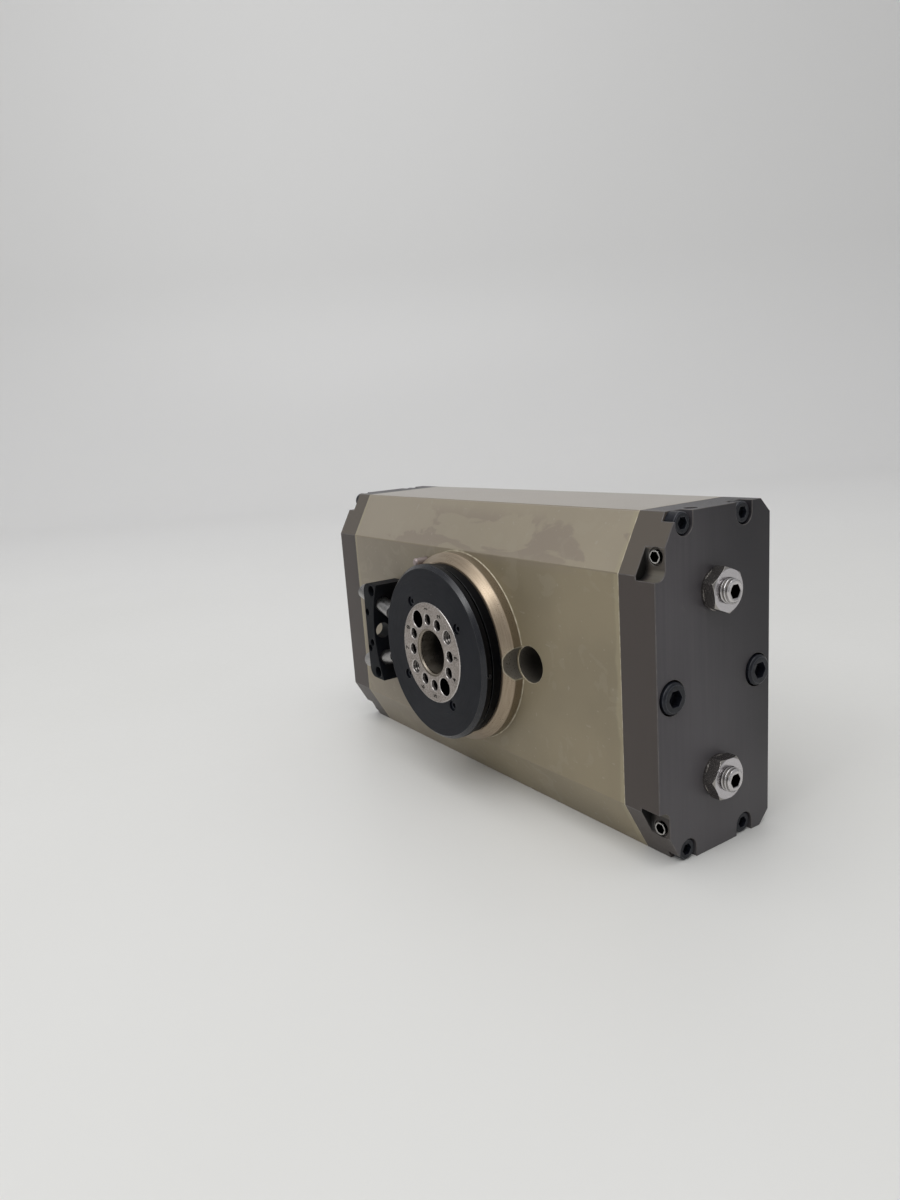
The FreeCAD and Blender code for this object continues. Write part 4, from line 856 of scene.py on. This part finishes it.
def boss_fillet():
    """The small fillet at the boss's foot, painted bright as a painted highlight, open where the mounting
    holes cut through it.
    """
    size, clear, arc_steps, steps = 0.36, 9.8, 4, 120
    outline = [(BOSS_RADIUS - SUNK, FRONT_Y + SUNK), (BOSS_RADIUS + size, FRONT_Y + SUNK)]
    for i in range(arc_steps + 1):
        angle = math.radians(90 * i / arc_steps)
        outline.append((BOSS_RADIUS + size * (1 - math.sin(angle)), FRONT_Y - size * (1 - math.cos(angle))))
    outline.append((BOSS_RADIUS - SUNK, FRONT_Y - size))
    for name, first, last in (("upper", clear, 180 - clear), ("lower", 180 + clear, 360 - clear)):
        points = []
        for i in range(steps + 1):
            turn = math.radians(first + (last - first) * i / steps)
            points += [(r * math.cos(turn), y, r * math.sin(turn)) for r, y in outline]
        faces = rows_to_faces(steps + 1, len(outline)) + end_faces(steps + 1, len(outline))
        mesh = new_mesh("boss_fillet_" + name, points, faces)
        made = piece("boss_fillet_" + name, mesh, "housing", "housing_edge")
        made.modifiers.new("creases", "EDGE_SPLIT").split_angle = math.radians(50)


def make_camera():
    """The camera that the photograph was taken from."""
    data = bpy.data.cameras.new("photo_camera")
    data.sensor_width = SENSOR_WIDTH
    data.lens = CAMERA_LENS
    data.clip_start = 0.01
    camera = bpy.data.objects.new("photo_camera", data)
    bpy.context.scene.collection.objects.link(camera)
    aim = Euler((math.radians(90 - CAMERA_ELEVATION), 0, math.radians(CAMERA_AZIMUTH))).to_matrix()
    roll = Matrix.Rotation(math.radians(CAMERA_ROLL), 3, "Z")
    camera.matrix_world = (aim @ roll).to_4x4()
    camera.location = Vector(CAMERA_PLACE) * MM
    bpy.context.scene.camera = camera


def floor_paint():
    """Pale satin floor, painted brighter towards the backdrop as painted light."""
    paint = Paint("floor_paint")
    tone = paint.noise(300, 3.0)
    grain = paint.noise(2.0, 3.0)
    colour = paint.mix(paint.band(tone, 0.3, 0.7), (0.725, 0.720, 0.695), (0.750, 0.745, 0.725))
    # Painted light: the floor is painted brighter the further back it lies.
    turn = math.radians(CAMERA_AZIMUTH)
    away = paint.math("ADD", paint.times(paint.x, -math.sin(turn)), paint.times(paint.y, math.cos(turn)))
    colour = paint.mix(paint.rise(away, 0, 1200), colour, (0.80, 0.795, 0.785))
    return paint.finish(colour, paint.band(grain, 0.3, 0.7, 0.38, 0.46))


def make_stage():
    """A pale floor that bends up into a backdrop behind the object, with its sizes in metres."""
    low = CAD_BOX[0].z
    front, depth, bend, height, width = -4.0, 1.2, 0.5, 2.2, 40.0
    bend_steps = 12
    profile = [(front, 0.0), (depth, 0.0)]
    for i in range(1, bend_steps + 1):
        angle = math.radians(90 * i / bend_steps)
        profile.append((depth + bend * math.sin(angle), bend * (1 - math.cos(angle))))
    profile.append((depth + bend, height))
    turn = Matrix.Rotation(math.radians(CAMERA_AZIMUTH), 3, "Z")
    points = []
    for along, up in profile:
        for side in (-width / 2, width / 2):
            points.append((turn @ Vector((side, along, 0)) + Vector((0, 0, low + up))) / MM)
    mesh = new_mesh("floor", points, rows_to_faces(len(profile), 2, closed=False))
    mesh.materials.append(floor_paint())
    floor = bpy.data.objects.new("floor", mesh)
    bpy.context.scene.collection.objects.link(floor)


def area_light(name, place, size, power):
    """A square lamp that looks at the origin."""
    data = bpy.data.lights.new(name, "AREA")
    data.shape = "SQUARE"
    data.size = size
    data.energy = power
    lamp = bpy.data.objects.new(name, data)
    bpy.context.scene.collection.objects.link(lamp)
    lamp.location = place
    lamp.rotation_euler = (-Vector(place)).to_track_quat("-Z", "Y").to_euler()


def make_light():
    """Even room light, brightest overhead, one window in front that the turned faces catch, and a ceiling."""
    world = bpy.data.worlds.new("studio")
    bpy.context.scene.world = world
    world.use_nodes = True
    tree = world.node_tree
    split = tree.nodes.new("ShaderNodeSeparateXYZ")
    tree.links.new(tree.nodes.new("ShaderNodeTexCoord").outputs["Generated"], split.inputs[0])
    ramp = tree.nodes.new("ShaderNodeMapRange")
    ramp.inputs["From Min"].default_value, ramp.inputs["From Max"].default_value = ROOM_HEIGHTS
    ramp.inputs["To Min"].default_value, ramp.inputs["To Max"].default_value = ROOM_STRENGTHS
    tree.links.new(split.outputs["Z"], ramp.inputs["Value"])
    back = tree.nodes["Background"]
    back.inputs["Color"].default_value = ROOM_COLOUR
    tree.links.new(ramp.outputs[0], back.inputs["Strength"])
    for name, (place, size, power) in LAMPS.items():
        area_light(name, place, size, power)


make_camera()
dress_nodes()
paint_rim()
stop_screw("upper", BORE_Z)
stop_screw("lower", -BORE_Z)
make_threads()
port_numbers()
boss_fillet()
make_stage()
make_light()
bpy.context.scene.view_settings.view_transform = "Standard"
